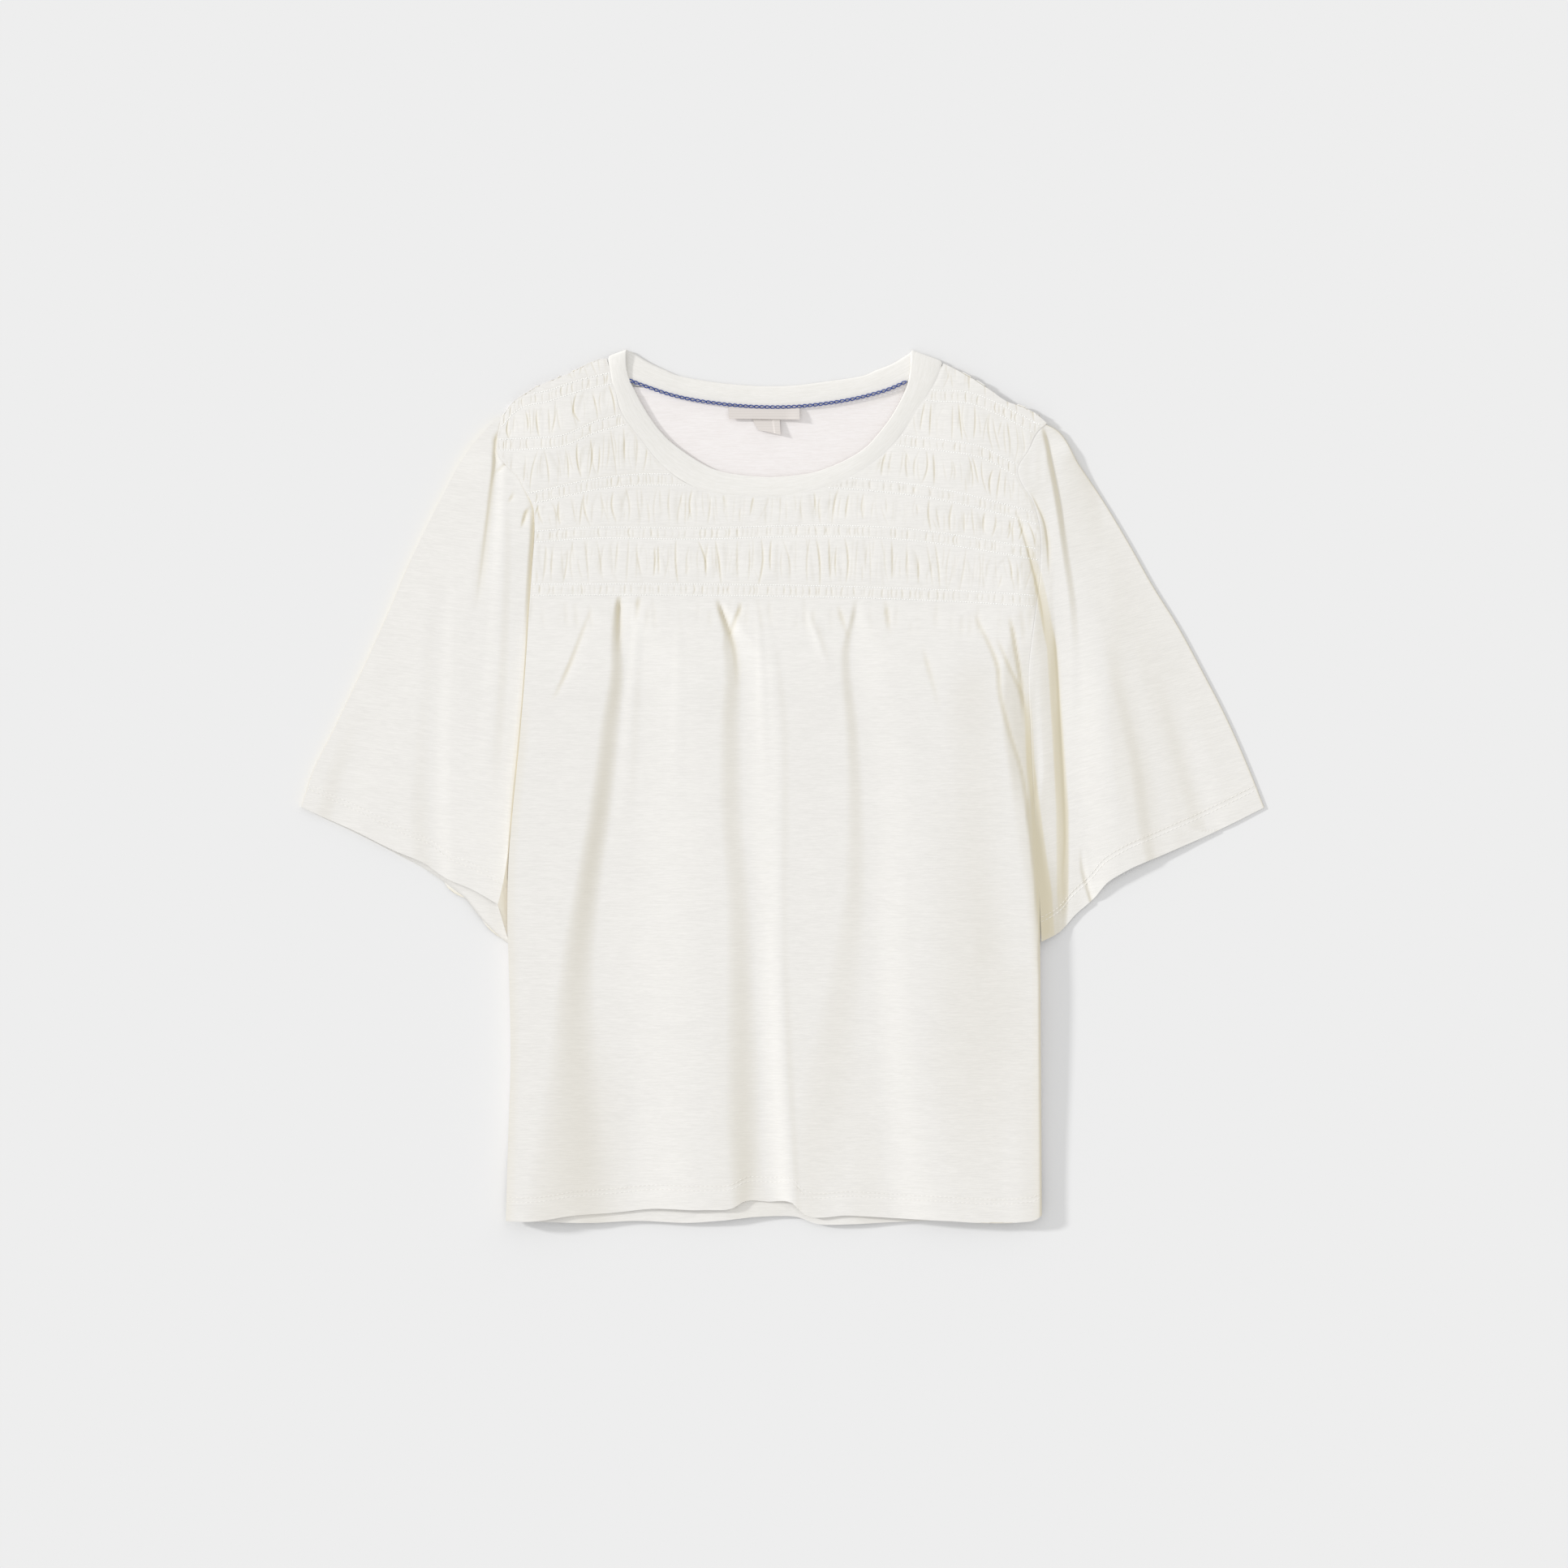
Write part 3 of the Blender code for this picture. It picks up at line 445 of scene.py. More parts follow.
# Rows of elastic, bottom to top: the middle of each pair, a line of points (x, y)
ELASTIC = (
    ((-190, 136), (-165.5, 136.1), (-62.4, 136.1), (46.8, 134.4), (96, 132.7), (142, 130.5),
     (178, 128)),
    ((-190, 172), (-165.5, 173), (-144, 174.7), (-62.4, 174.7), (46.8, 176.4), (79.8, 174.7),
     (142, 166.3), (178, 160)),
    ((-190, 196), (-167, 200.5), (-128, 208.9), (-103, 211.7), (-70, 212), (50, 209),
     (79.8, 206.1), (112.3, 201), (153.7, 191), (178, 184)),
    ((-190, 236), (-172, 236.9), (-152.6, 238.6), (-128, 248.6), (-108.4, 253.7), (-60, 262),
     (40, 250), (84.3, 238.6), (112.3, 235.2), (136.9, 230.7), (159.9, 219), (178, 212)),
    ((-194, 252), (-185.6, 261.5), (-161, 269.9), (-134.7, 278.3), (-119.6, 281.7), (-60, 290),
     (60, 276), (104.4, 269.9), (129, 268.2), (153.7, 258.2), (175, 247), (184, 243)),
)
PAIR = 7.6            # distance between the two threads of a pair
YOKE_Z = 5.0          # height of the gathered part
NECK_Z = 3.7          # height of its edge under the neckband
SKIRT_Z = 10.0        # height of the loose part
SKIRT_SWELL = 70.0    # the loose part rises to that over this, below the gathers
LEFT_ROLL, RIGHT_ROLL = 0.1, 1.6   # widths of the front's rounded sides
FREE_SIDE, FREE_FADE = -98.0, 16.0   # below this the right side lies free of the sleeve
SHOULDER_FALL, SHOULDER_SHARE = 45.0, 0.35   # the front sinks to that share at the shoulders
# Folds below the gathers. Rows of a fold: y, x of its line, height (a trough is negative),
# width on its left, width on its right
SKIRT_FOLDS = (
    # faint ridges that fan out between the folds
    ((118, -100, 0, 4, 5), (100, -101, 0.25, 5, 6), (60, -104, 0.3, 6, 8),
     (0, -108, 0.2, 8, 10), (-60, -112, 0, 10, 12)),
    ((118, -72, 0, 4, 5), (95, -72, 0.15, 5, 6), (40, -73, 0.15, 7, 8), (-20, -74, 0, 8, 8)),
    ((125, -17, 0, 3, 3), (110, -16.5, 0.18, 3.5, 4), (80, -15, 0.2, 4, 5),
     (40, -14, 0.12, 5, 6), (0, -13, 0, 6, 6)),
    ((122, 17, 0, 2, 3), (112, 20.5, 0.25, 2.5, 3.5), (96, 26, 0.2, 3, 4), (80, 31, 0, 4, 5)),
    # left trough
    ((132, -112.8, 0, 2, 6), (123, -112.6, -1.1, 4, 14), (102, -111.0, -1.6, 8, 36),
     (92, -109.4, -1.8, 10, 46), (39, -111.8, -2.0, 15, 80), (-17, -117.6, -2.5, 17, 96),
     (-73, -125, -2.6, 20, 104), (-129, -129, -2.5, 26, 104), (-185, -126.5, -2.7, 35, 96),
     (-241, -123, -3.1, 48, 90), (-300, -124, -3.6, 58, 84)),
    # centre pleat
    ((131, -45, 0, 2, 3), (122, -42, -0.9, 3, 6), (106, -36.3, -1.2, 5, 12),
     (95, -32, -1.4, 11, 19), (39, -28.3, -1.4, 16, 26), (-17, -26.6, -1.45, 18, 26),
     (-73, -22, -1.3, 18, 23), (-129, -19.3, -1.6, 20, 20), (-185, -17, -1.95, 23, 20),
     (-241, -15.6, -2.5, 24, 23), (-300, -12.8, -3.8, 22, 25)),
    # right trough
    ((130, 51, 0, 2, 4), (117.6, 49.6, -0.7, 3, 8), (95, 47.3, -0.9, 8, 24),
     (39, 52.6, -0.9, 10, 34), (-17, 56.5, -0.8, 13, 42), (-73, 57.5, -0.8, 16, 46),
     (-129, 55.8, -0.9, 26, 46), (-185, 51, -1.1, 34, 52), (-241, 47.7, -1.4, 42, 66),
     (-300, 43.8, -1.7, 42, 76)),
    # soft ridges that start at the elastic
    ((124, 18.5, 0, 5, 7), (110, 21.5, 0.35, 6, 8), (78, 30, 0, 7, 9)),
    ((118, -12, 0, 6, 5), (90, -7, 0.2, 7, 6), (-110, -2.5, 0.15, 9, 7),
     (-300, 5.6, 0.4, 10, 8)),
    # long swells between the troughs
    ((110, -66, 0, 30, 26), (60, -66, 0.3, 36, 30), (-190, -66, 0.6, 40, 36),
     (-300, -69, 1.2, 40, 38)),
    ((40, 88, 0, 20, 60), (-40, 86, 0.6, 24, 70), (-100, 87, 0.95, 27, 76),
     (-150, 90, 1.2, 28, 80), (-200, 95, 1.3, 30, 82), (-300, 108, 1.6, 34, 86)),
)
# Thin creases of the front: y, x of the crease, depth, width. One also crosses the sleeve
ARMHOLE_CREASE = (
    (190, 161.5, 0, 1), (183, 163.3, 0.35, 1.3), (166, 168.3, 0.36, 1.5),
    (148.4, 173.1, 0.36, 1.6), (123, 178.9, 0.2, 1.8), (96, 182, 0, 2))
SKIRT_CREASES = (
    ((128, -28.8, 0, 1.2), (122, -30, 0.55, 1.4), (112, -34, 0.5, 1.5), (104, -36, 0, 1.6)),
    ((133, -112.4, 0, 1.4), (124, -112.8, 0.7, 1.6), (104, -112.5, 0.3, 2.0), (90, -112, 0, 2)),
    ((129, -44.8, 0, 1.2), (120, -41.6, 0.6, 1.5), (106, -36, 0.55, 1.7), (95, -33, 0.4, 2.0),
     (80, -31, 0.2, 2.4), (66, -30, 0, 2.5)),
    ((124, -131.5, 0, 1.2), (112, -136, 0.25, 1.4), (79, -148.7, 0.45, 1.5),
     (58, -158.5, 0, 1.5)),
    ((133, -99, 0, 1.2), (127, -99.6, 0.5, 1.3), (114, -101.3, 0, 1.4)),
    ((130, 71, 0, 1.2), (121, 71.6, 0.4, 1.3), (104, 74.8, 0, 1.4)),
    ((126, 38.5, 0, 1.2), (118, 40.4, 0.45, 1.3), (102, 45.6, 0, 1.4)),
    ((98, 96, 0, 1.4), (85, 99.6, 0.3, 1.6), (52, 108.6, 0, 1.6)),
    ((122, 131, 0, 1.2), (110, 136.5, 0.35, 1.3), (99, 142, 0.4, 1.4), (84.6, 147.6, 0.5, 1.5),
     (63, 150, 0.4, 1.7), (39, 156, 0.35, 1.8), (11, 164.5, 0.3, 1.4), (-17, 168.8, 0.3, 1.2),
     (-45, 172.2, 0.3, 1.2), (-73, 175, 0.3, 1.2), (-100, 176.5, 0, 1.2)),
    ((104, 147, 0, 1.2), (97, 150, 0.3, 1.3), (83, 156, 0.4, 1.4), (68, 163, 0.4, 1.4),
     (50, 167, 0, 1.6)),
    ARMHOLE_CREASE,
    ((118, 156, 0, 1.2), (108, 158.4, 0.5, 1.3), (96, 160.4, 0.6, 1.5), (70, 164.6, 0.5, 1.8),
     (40, 167, 0, 2)),
)
TILT_FROM, TILT_TO, TILT = 104.0, 180.0, 2.0   # the loose part sinks towards its right edge
TILT_REACH, NECK_REACH = 160.0, 56.0   # that, and the fall to the neckband, are eased over these
# The front runs on into the right sleeve in one slope, which ends in a trough. Rows of that
# slope: y, places across it, heights there
RIGHT_SIDE = (
    (215, (158, 162, 166, 170, 174, 178, 181, 184), (4.6, 4.6, 4.6, 4.5, 4.5, 4.4, 4.4, 4.3)),
    (196, (162, 166, 169, 172, 175, 178, 182, 186), (4.9, 4.9, 4.8, 4.7, 4.5, 4.4, 4.3, 4.3)),
    (174, (163, 166, 170, 175, 178, 181, 184, 188), (5.0, 4.9, 4.9, 4.8, 4.6, 4.2, 4.0, 4.0)),
    (151, (161, 165, 169, 172, 175, 179, 184, 188), (5.2, 5.1, 4.7, 4.3, 4.0, 3.9, 3.7, 3.6)),
    (129, (162, 166, 170, 173, 176, 179, 183, 187), (5.5, 5.4, 5.2, 4.8, 4.3, 4.0, 3.8, 3.6)),
    (106, (156, 161, 166, 171, 175, 179, 184, 189), (6.3, 6.0, 5.8, 5.6, 5.3, 4.7, 4.0, 3.4)),
    (84, (151, 158, 164, 169, 173, 178, 184, 190.5), (7.6, 6.8, 6.0, 5.5, 5.4, 5.1, 4.3, 3.2)),
    (62, (150, 156, 163, 169, 173, 178, 184, 191.5), (8.4, 7.6, 6.4, 5.4, 5.1, 4.9, 4.2, 3.0)),
    (39, (151, 157, 164, 170, 174, 179, 186, 193), (8.7, 7.9, 6.5, 5.4, 5.0, 4.9, 4.2, 2.9)),
    (11, (155, 161, 167, 172, 175.5, 180, 187, 195), (8.9, 8.1, 6.8, 5.5, 4.9, 4.9, 4.2, 2.8)),
    (-17, (158, 164, 168, 170.5, 174, 179, 189, 197.5),
     (8.9, 8.6, 8.1, 7.1, 5.7, 5.0, 4.1, 2.8)),
    (-45, (162, 168, 172, 174.5, 178, 183, 190, 198), (8.9, 8.6, 8.0, 6.8, 5.5, 4.7, 4.0, 2.8)),
    (-73, (167, 172, 175, 178, 182, 187, 192, 197), (8.7, 8.4, 7.7, 6.4, 5.1, 3.9, 2.8, 1.8)),
    (-110, (169, 174, 176.5, 179, 182, 187, 191, 196),
     (8.2, 8.1, 7.7, 6.4, 5.2, 3.9, 2.6, 1.6)),
)
SIDE_FADES = (40.0, 34.0)   # it blends into the front, and into the sleeve, over these
SIDE_ENDS = ((228.0, 14.0), (-112.0, -22.0))   # and up and down it from these
# Painted shade, dark and golden, on the lowest parts of that slope. Rows: y, left, right, how much
SIDE_SHADE_BANDS = (
    ((66, 165, 170, 0), (50, 166.5, 171.5, 0.4), (17, 168, 173.2, 0.58), (-17, 171, 177.5, 0.6),
     (-45, 173.5, 181.2, 0.58), (-73, 175.2, 185.5, 0.55), (-100, 176.5, 187, 0.5),
     (-112, 177, 188, 0)),
    ((178, 165, 168.5, 0), (160, 169.5, 173.5, 0.22), (148, 172, 178, 0.35),
     (131, 174.6, 182, 0.45), (110, 179, 186, 0.5), (96, 182, 188.6, 0.5),
     (39, 185.5, 193, 0.5), (-17, 188.5, 197, 0.5), (-73, 189, 197, 0.45), (-92, 190, 197, 0)),
)


def relief(folds, x, y):
    """The sum of folds, each a rounded trough or ridge along its line."""
    total = np.zeros(np.shape(x))
    for fold in folds:
        table = np.array(sorted(fold), dtype=float)
        offset = x - curve(table)(y)
        height, left, right = (np.interp(y, table[:, 0], table[:, c]) for c in (2, 3, 4))
        reach = np.clip(offset / np.where(offset < 0, left, right), -1, 1)
        inside = (y > table[0, 0]) & (y < table[-1, 0])
        total += np.where(inside, height, 0) * 0.5 * (1 + np.cos(np.pi * reach))
    return total


def right_side(x, y, height):
    """Bends a height to the slope along the right side of the front."""
    last = len(RIGHT_SIDE[0][1]) - 1
    places, levels = [[curve([(row[0], row[c][k]) for row in RIGHT_SIDE])(y)
                       for k in range(last + 1)] for c in (1, 2)]
    slopes = [0 * y] + [(levels[k + 1] - levels[k - 1]) / (places[k + 1] - places[k - 1])
                        for k in range(1, last)] + [0 * y]
    slope_height = levels[0]
    for k in range(last):
        span = places[k + 1] - places[k]
        u = np.clip((x - places[k]) / span, 0, 1)
        part = hermite(u, span, levels[k], levels[k + 1], slopes[k], slopes[k + 1])
        slope_height = np.where(x >= places[k], part, slope_height)
    share = (smooth_step(1 + (x - places[0]) / SIDE_FADES[0])
             * (1 - smooth_step((x - places[last]) / SIDE_FADES[1])))
    for start, fade in SIDE_ENDS:
        share = share * (1 - smooth_step((y - start) / fade))
    return height + (slope_height - height) * share


SHADE_BAND_EDGES = (1.4, 1.8)   # the left and right edges of a band of painted shade are this soft


def painted_band_shade(bands, x, y):
    """How much painted shade each point has, from bands along the cloth."""
    mark = np.zeros(np.shape(x))
    for band in bands:
        table = np.array(sorted(band), dtype=float)
        left, right, share = (np.interp(y, table[:, 0], table[:, c]) for c in (1, 2, 3))
        mark += (share * smooth_step((x - left) / SHADE_BAND_EDGES[0] + 0.5)
                 * smooth_step((right - x) / SHADE_BAND_EDGES[1] + 0.5))
    return mark


STEEP, GENTLE = 0.6, 1.9   # the two flanks of a crease, in shares of its width


def crease_shape(offset, width):
    """A crease that drops steeply on its left and rises slowly on its right."""
    return np.where(offset < 0, np.exp(-(offset / (STEEP * width)) ** 2),
                    np.exp(-np.maximum(offset, 0) / (GENTLE * width)))


def creases(table_of_creases, x, y):
    """Depth of thin creases, and how much painted shade they take, at each point."""
    depth, mark = np.zeros(np.shape(x)), np.zeros(np.shape(x))
    for crease in table_of_creases:
        table = np.array(sorted(crease), dtype=float)
        offset = x - curve(table)(y)
        deep, width = (np.interp(y, table[:, 0], table[:, c]) for c in (2, 3))
        deep = np.where((y > table[0, 0]) & (y < table[-1, 0]), deep, 0)
        depth += deep * crease_shape(offset, width)
        mark += deep * np.exp(-(offset / width) ** 2)
    return depth, mark


TABLE_LEFT, TABLE_RIGHT, TABLE_STEP, TABLE_ROWS = -205.0, 195.0, 0.2, 48


def gathers(seed, pitch, lean, bow, depth, width, span):
    """Depth of the creases over one band of gathered cloth, and how much painted shade they
    take: tables of rows up and columns across. Each crease draws its own place, lean, bow,
    depth, width and reach up the band."""
    draw = np.random.default_rng(seed)
    x = np.arange(TABLE_LEFT, TABLE_RIGHT, TABLE_STEP)
    v = np.linspace(0, 1, TABLE_ROWS)
    deep, marks = np.zeros((TABLE_ROWS, len(x))), np.zeros((TABLE_ROWS, len(x)))
    at = x[0]
    while at < x[-1]:
        line = at + draw.normal(0, lean) * (v - 0.5) + draw.normal(0, bow) * np.sin(np.pi * v)
        reach, strength = draw.uniform(*span), draw.uniform(0.25, 1.0) ** 1.3
        low = draw.uniform(min(1 - reach, 0), max(1 - reach, 0))
        fade = np.clip(4 * (v - low) * (low + reach - v) / reach ** 2, 0, 1) ** 0.7
        offset = x[None] - line[:, None]
        wide = width * (0.7 + 0.6 * strength) * (0.45 + 0.55 * fade[:, None])
        shown = (strength * fade)[:, None]
        deep += depth * shown * crease_shape(offset, wide)
        marks += shown * np.exp(-(offset / wide) ** 2)
        at += pitch * draw.uniform(0.5, 1.6)
    return deep, np.minimum(marks, 1)


def sample(table, x, v):
    """Reads a table of gathers at places across and shares up the band."""
    fx = np.clip((x - TABLE_LEFT) / TABLE_STEP, 0, table.shape[1] - 1.001)
    fv = np.clip(v, 0, 1) * (len(table) - 1.001)
    i, j = fx.astype(int), fv.astype(int)
    a, b = fx - i, fv - j
    return ((table[j, i] * (1 - a) + table[j, i + 1] * a) * (1 - b)
            + (table[j + 1, i] * (1 - a) + table[j + 1, i + 1] * a) * b)


# Gathers: seed, spacing, lean, bow, depth, width, and their least and greatest reach. The
# beads lie between the threads of a pair, and the puffs with their fine and soft creases
# between two pairs.
BEADS = (11, 3.3, 0.5, 0.6, 0.26, 0.42, (0.85, 1.1))
PUFFS = (31, 6.2, 3.4, 1.9, 0.3, 0.46, (0.65, 1.05))
FINE = (41, 4.2, 2.4, 1.8, 0.12, 0.42, (0.3, 0.8))
SOFT = (51, 9.0, 4.0, 2.0, 0.22, 3.2, (0.5, 1.0))
UNDER = (71, 8.0, 3.0, 1.0, 0.2, 1.3, (0.5, 1.0))
BEAD_MARK, PUFF_MARK, FINE_MARK, UNDER_MARK = 0.22, 0.5, 0.22, 0.1   # how much painted shade their creases take
UNDER_REACH = 30.0    # the short gathers reach this far into the loose part
PINCH, LINE_WIDTH = 0.05, 0.8      # depth and width of the hollow along a thread
CROWN, BEAD_CROWN = 0.18, 0.1      # how much the puffs and the beads swell
ABOVE_LAST = 34.0     # height of the band above the last pair
elastic_rows = [curve(row) for row in ELASTIC]
bead_bands, puff_bands, fine_bands, soft_bands = [
    [gathers(kind[0] + k, *kind[1:]) for k in range(len(ELASTIC))]
    for kind in (BEADS, PUFFS, FINE, SOFT)]
under_band = gathers(*UNDER)


def shirring(x, y):
    """Height of the gathers above or below the smooth form of the yoke, and how much painted
    shade the creases take."""
    rows = [row(x) for row in elastic_rows]
    height, mark = np.zeros(np.shape(x)), np.zeros(np.shape(x))
    for row, (beads, bead_marks) in zip(rows, bead_bands):
        off = y - row
        for thread in (-PAIR / 2, PAIR / 2):
            height -= PINCH * np.exp(-((off - thread) / LINE_WIDTH) ** 2)
        v = 0.5 + off / PAIR
        inside = (v > 0) & (v < 1)
        height += np.where(inside, BEAD_CROWN * np.sqrt(np.clip(4 * v * (1 - v), 0, 1))
                           - sample(beads, x, v), 0)
        mark += np.where(inside, BEAD_MARK * sample(bead_marks, x, v), 0)
    tops = rows[1:] + [rows[-1] + ABOVE_LAST]
    for k, (low, high) in enumerate(zip(rows, tops)):
        v = (y - low - PAIR / 2) / (high - low - PAIR)
        inside = (v > 0) & (v < 1)
        for (deep, marks), share in ((puff_bands[k], PUFF_MARK), (fine_bands[k], FINE_MARK),
                                     (soft_bands[k], 0)):
            height -= np.where(inside, sample(deep, x, v), 0)
            mark += np.where(inside, share * sample(marks, x, v), 0)
        height += np.where(inside, CROWN * np.clip(4 * v * (1 - v), 0, 1) ** 0.4, 0)
    v = 1 + (y - rows[0] + PAIR / 2) / UNDER_REACH
    share = np.where((v > 0) & (v < 1), smooth_step(v * 2), 0)
    return (height - share * sample(under_band[0], x, v),
            mark + share * UNDER_MARK * sample(under_band[1], x, v))


front_lift = curve(FRONT_HEM_LIFT)
front_neck = smooth_line(FRONT_NECK)


def front_form(x, y):
    """The height of the front without its gathers and folds."""
    height = YOKE_Z + (SKIRT_Z - YOKE_Z) * smooth_step((elastic_rows[0](x) - y) / SKIRT_SWELL)
    across, down = (x - TILT_FROM) / (TILT_TO - TILT_FROM), (UNDERARM_Y - y) / TILT_REACH
    height = height - TILT * smooth_step(across) * smooth_step(down)
    near_neck = smooth_step((distance_to(FRONT_NECK, x, y) + 6) / NECK_REACH)
    return NECK_Z + (height - NECK_Z) * near_neck


HEM_CLEAR, HEM_EASE = 1.7, 1.5    # the hem keeps clear of the back, and is eased onto it
HEM_FOLD = 0.95                   # share of the folds that reaches the hem
SIDE_FADE, NECK_FADE = 2.2, 2.5   # the gathers fade out over these at the sides and the neck
# The hem's stitches: how far above the edge, and the depth and width of their hollow
HEM_STITCH, HEM_GROOVE, GROOVE_WIDTH = 15.0, 0.1, 1.2
CREASE_MARK = 0.8                 # how much painted shade a thin crease takes on
# Painted shade along the sides of the front below the arms: how wide, how soft, how much
SIDE_EDGE_SHADE = ((8.0, 7.0, 0.175), (2.4, 2.0, 0.035))


def front_height(x, y):
    """The outer face of the front, and how much painted shade each point takes."""
    folds = relief(SKIRT_FOLDS, x, y)
    thin, thin_mark = creases(SKIRT_CREASES, x, y)
    lowest = back_height(x, y) + HEM_CLEAR
    above = front_lift(x) + HEM_FOLD * folds - lowest
    hem = lowest + 0.5 * (above + np.sqrt(above ** 2 + HEM_EASE))
    up = smooth_step((y - HEM_Y - 1) / FRONT_HEM_REACH)
    height = hem + (front_form(x, y) + folds - hem) * up
    to_shoulder = shoulder_distance(x, y)
    fall = SHOULDER_SHARE + (1 - SHOULDER_SHARE) * smooth_step(
        (to_shoulder + 8) / (SHOULDER_FALL + 8))
    height = right_side(x, y, SHOULDER_Z + (height - SHOULDER_Z) * fall) - thin
    gathered, mark = shirring(x, y)
    from_side = inward(x, y)
    fade = (smooth_step((from_side - 0.2) / SIDE_FADE)
            * smooth_step((distance_to(FRONT_NECK, x, y) - 0.3) / NECK_FADE))
    height = height + gathered * fade
    free = smooth_step((FREE_SIDE - y) / FREE_FADE)
    side = roll(x - left_edge(y), LEFT_ROLL) * (
        1 - free + free * roll(right_edge(y) - x, RIGHT_ROLL))
    edge = seam_height(x, y)
    height = edge + (height - edge) * side
    height = SHOULDER_Z + (height - SHOULDER_Z) * roll(to_shoulder, SHOULDER_ROLL)
    below = smooth_step((UNDERARM_Y + 10 - y) / 40)
    # Painted shade: in the creases of the gathers, in the golden bands of the right side, in the
    # thin creases, and along the sides below the arms
    mark = (mark * fade + painted_band_shade(SIDE_SHADE_BANDS, x, y)
            + np.clip(thin_mark, 0, 1) * CREASE_MARK)
    for wide, soft, much in SIDE_EDGE_SHADE:
        mark = mark + much * below * smooth_step((wide - from_side) / soft)
    return height, mark


def hem_hollow(climb):
    """The line of the hem's stitches, from the distance above the edge."""
    return -HEM_GROOVE * np.exp(-((climb - HEM_STITCH) / GROOVE_WIDTH) ** 2)


def climbed(grid):
    """The distance of each point from the first row, along its column."""
    steps = np.linalg.norm(np.diff(grid, axis=0), axis=2)
    return np.concatenate([np.zeros((1, grid.shape[1])), np.cumsum(steps, axis=0)])


LOW_SPARE = 0.2       # the coarse inner face follows the lowest points, so it can lie closer


def front_piece(name, flat, step, hemmed=False):
    """One part of the front, from its flat grid of points, and its outer face."""
    x, y = flat[:, :, 0], flat[:, :, 1]
    z, mark = front_height(x, y)
    if hemmed:
        z = z + hem_hollow(climbed(flat))
    outer = np.dstack([x, y, z])
    low = np.dstack([x, y, lowest_near(z, step)])[::step, ::step]
    inner = low - (0, 0, JERSEY_WALL - LOW_SPARE)
    rim = (outer - JERSEY_WALL * skin_normals(outer))[::step, ::step]
    inner[0], inner[-1], inner[:, 0], inner[:, -1] = rim[0], rim[-1], rim[:, 0], rim[:, -1]
    piece = cloth(name, outer, inner, step, fold=mark)
    piece.data.materials.append(jersey_face)
    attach(piece, "root")
    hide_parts("front_panel")
    return piece, outer


def row_line(row, low, high):
    """A line along the lower thread of a row of elastic."""
    x = np.linspace(low, high, 700)
    return np.stack([x, row(x) - PAIR / 2], 1)


def crossing(edge, row, guess):
    """The y where an edge of the body meets the lower thread of a row of elastic."""
    y = guess
    for _ in range(30):
        y = float(row(edge(y)) - PAIR / 2)
    return y


def piece_between(bottom, top, left, right, columns, rows):
    """A flat grid between four lines, with so many columns and rows of faces."""
    width = max(lengths(bottom)[-1], lengths(top)[-1])
    tall = max(lengths(left)[-1], lengths(right)[-1])
    return patch(bottom, top, left, right, spaced(columns, width), spaced(rows, tall))


# The loose part ends at the lowest thread
low_row, split_row = elastic_rows[0], elastic_rows[2]
skirt_left_y, skirt_right_y = [crossing(edge, low_row, 130) for edge in (left_edge, right_edge)]
skirt_top = row_line(low_row, float(left_edge(skirt_left_y)), float(right_edge(skirt_right_y)))
skirt_left = edge_line(left_edge, FRONT_HEM[0][1], skirt_left_y)
skirt_right = edge_line(right_edge, FRONT_HEM[-1][1], skirt_right_y)
skirt_bottom = smooth_line([skirt_left[0], *FRONT_HEM[1:-1], skirt_right[0]])
skirt_flat = piece_between(skirt_bottom, skirt_top, skirt_left, skirt_right, 264, 340)
skirt, skirt_face = front_piece("front_skirt", skirt_flat, 4, True)

# The yoke is modelled in three parts that meet at the third pair of threads
yoke_left_y = crossing(left_edge, split_row, 195)
yoke_right_y = crossing(right_edge, split_row, 185)
yoke_top = row_line(split_row, float(left_edge(yoke_left_y)), float(right_edge(yoke_right_y)))
neck_y = np.interp(yoke_top[:, 0], front_neck[:, 0], front_neck[:, 1])
inside_neck = np.flatnonzero(neck_y < yoke_top[:, 1])
first, last = inside_neck[0], inside_neck[-1]
yoke_top[first:last + 1, 1] = neck_y[first:last + 1]
yoke_left = edge_line(left_edge, skirt_left_y, yoke_left_y)
yoke_right = edge_line(right_edge, skirt_right_y, yoke_right_y)
yoke_centre, _ = front_piece(
    "front_yoke_centre", piece_between(skirt_top, yoke_top, yoke_left, yoke_right, 600, 144), 6)
neck_left = front_neck[front_neck[:, 0] <= yoke_top[first, 0]][::-1]
neck_right = front_neck[front_neck[:, 0] >= yoke_top[last, 0]]
shoulder_left, _ = front_piece("front_shoulder_left", piece_between(
    yoke_top[:first + 1], smooth_line([back_left[-1], *SHOULDER_LEFT[1:]]),
    edge_line(left_edge, yoke_left_y, back_left[-1][1]),
    np.concatenate([[yoke_top[first]], neck_left]), 204, 204), 6)
shoulder_right, _ = front_piece("front_shoulder_right", piece_between(
    yoke_top[last:], smooth_line([*SHOULDER_RIGHT[:-1], back_right[-1]]),
    np.concatenate([[yoke_top[last]], neck_right]),
    edge_line(right_edge, yoke_right_y, back_right[-1][1]), 228, 204), 6)


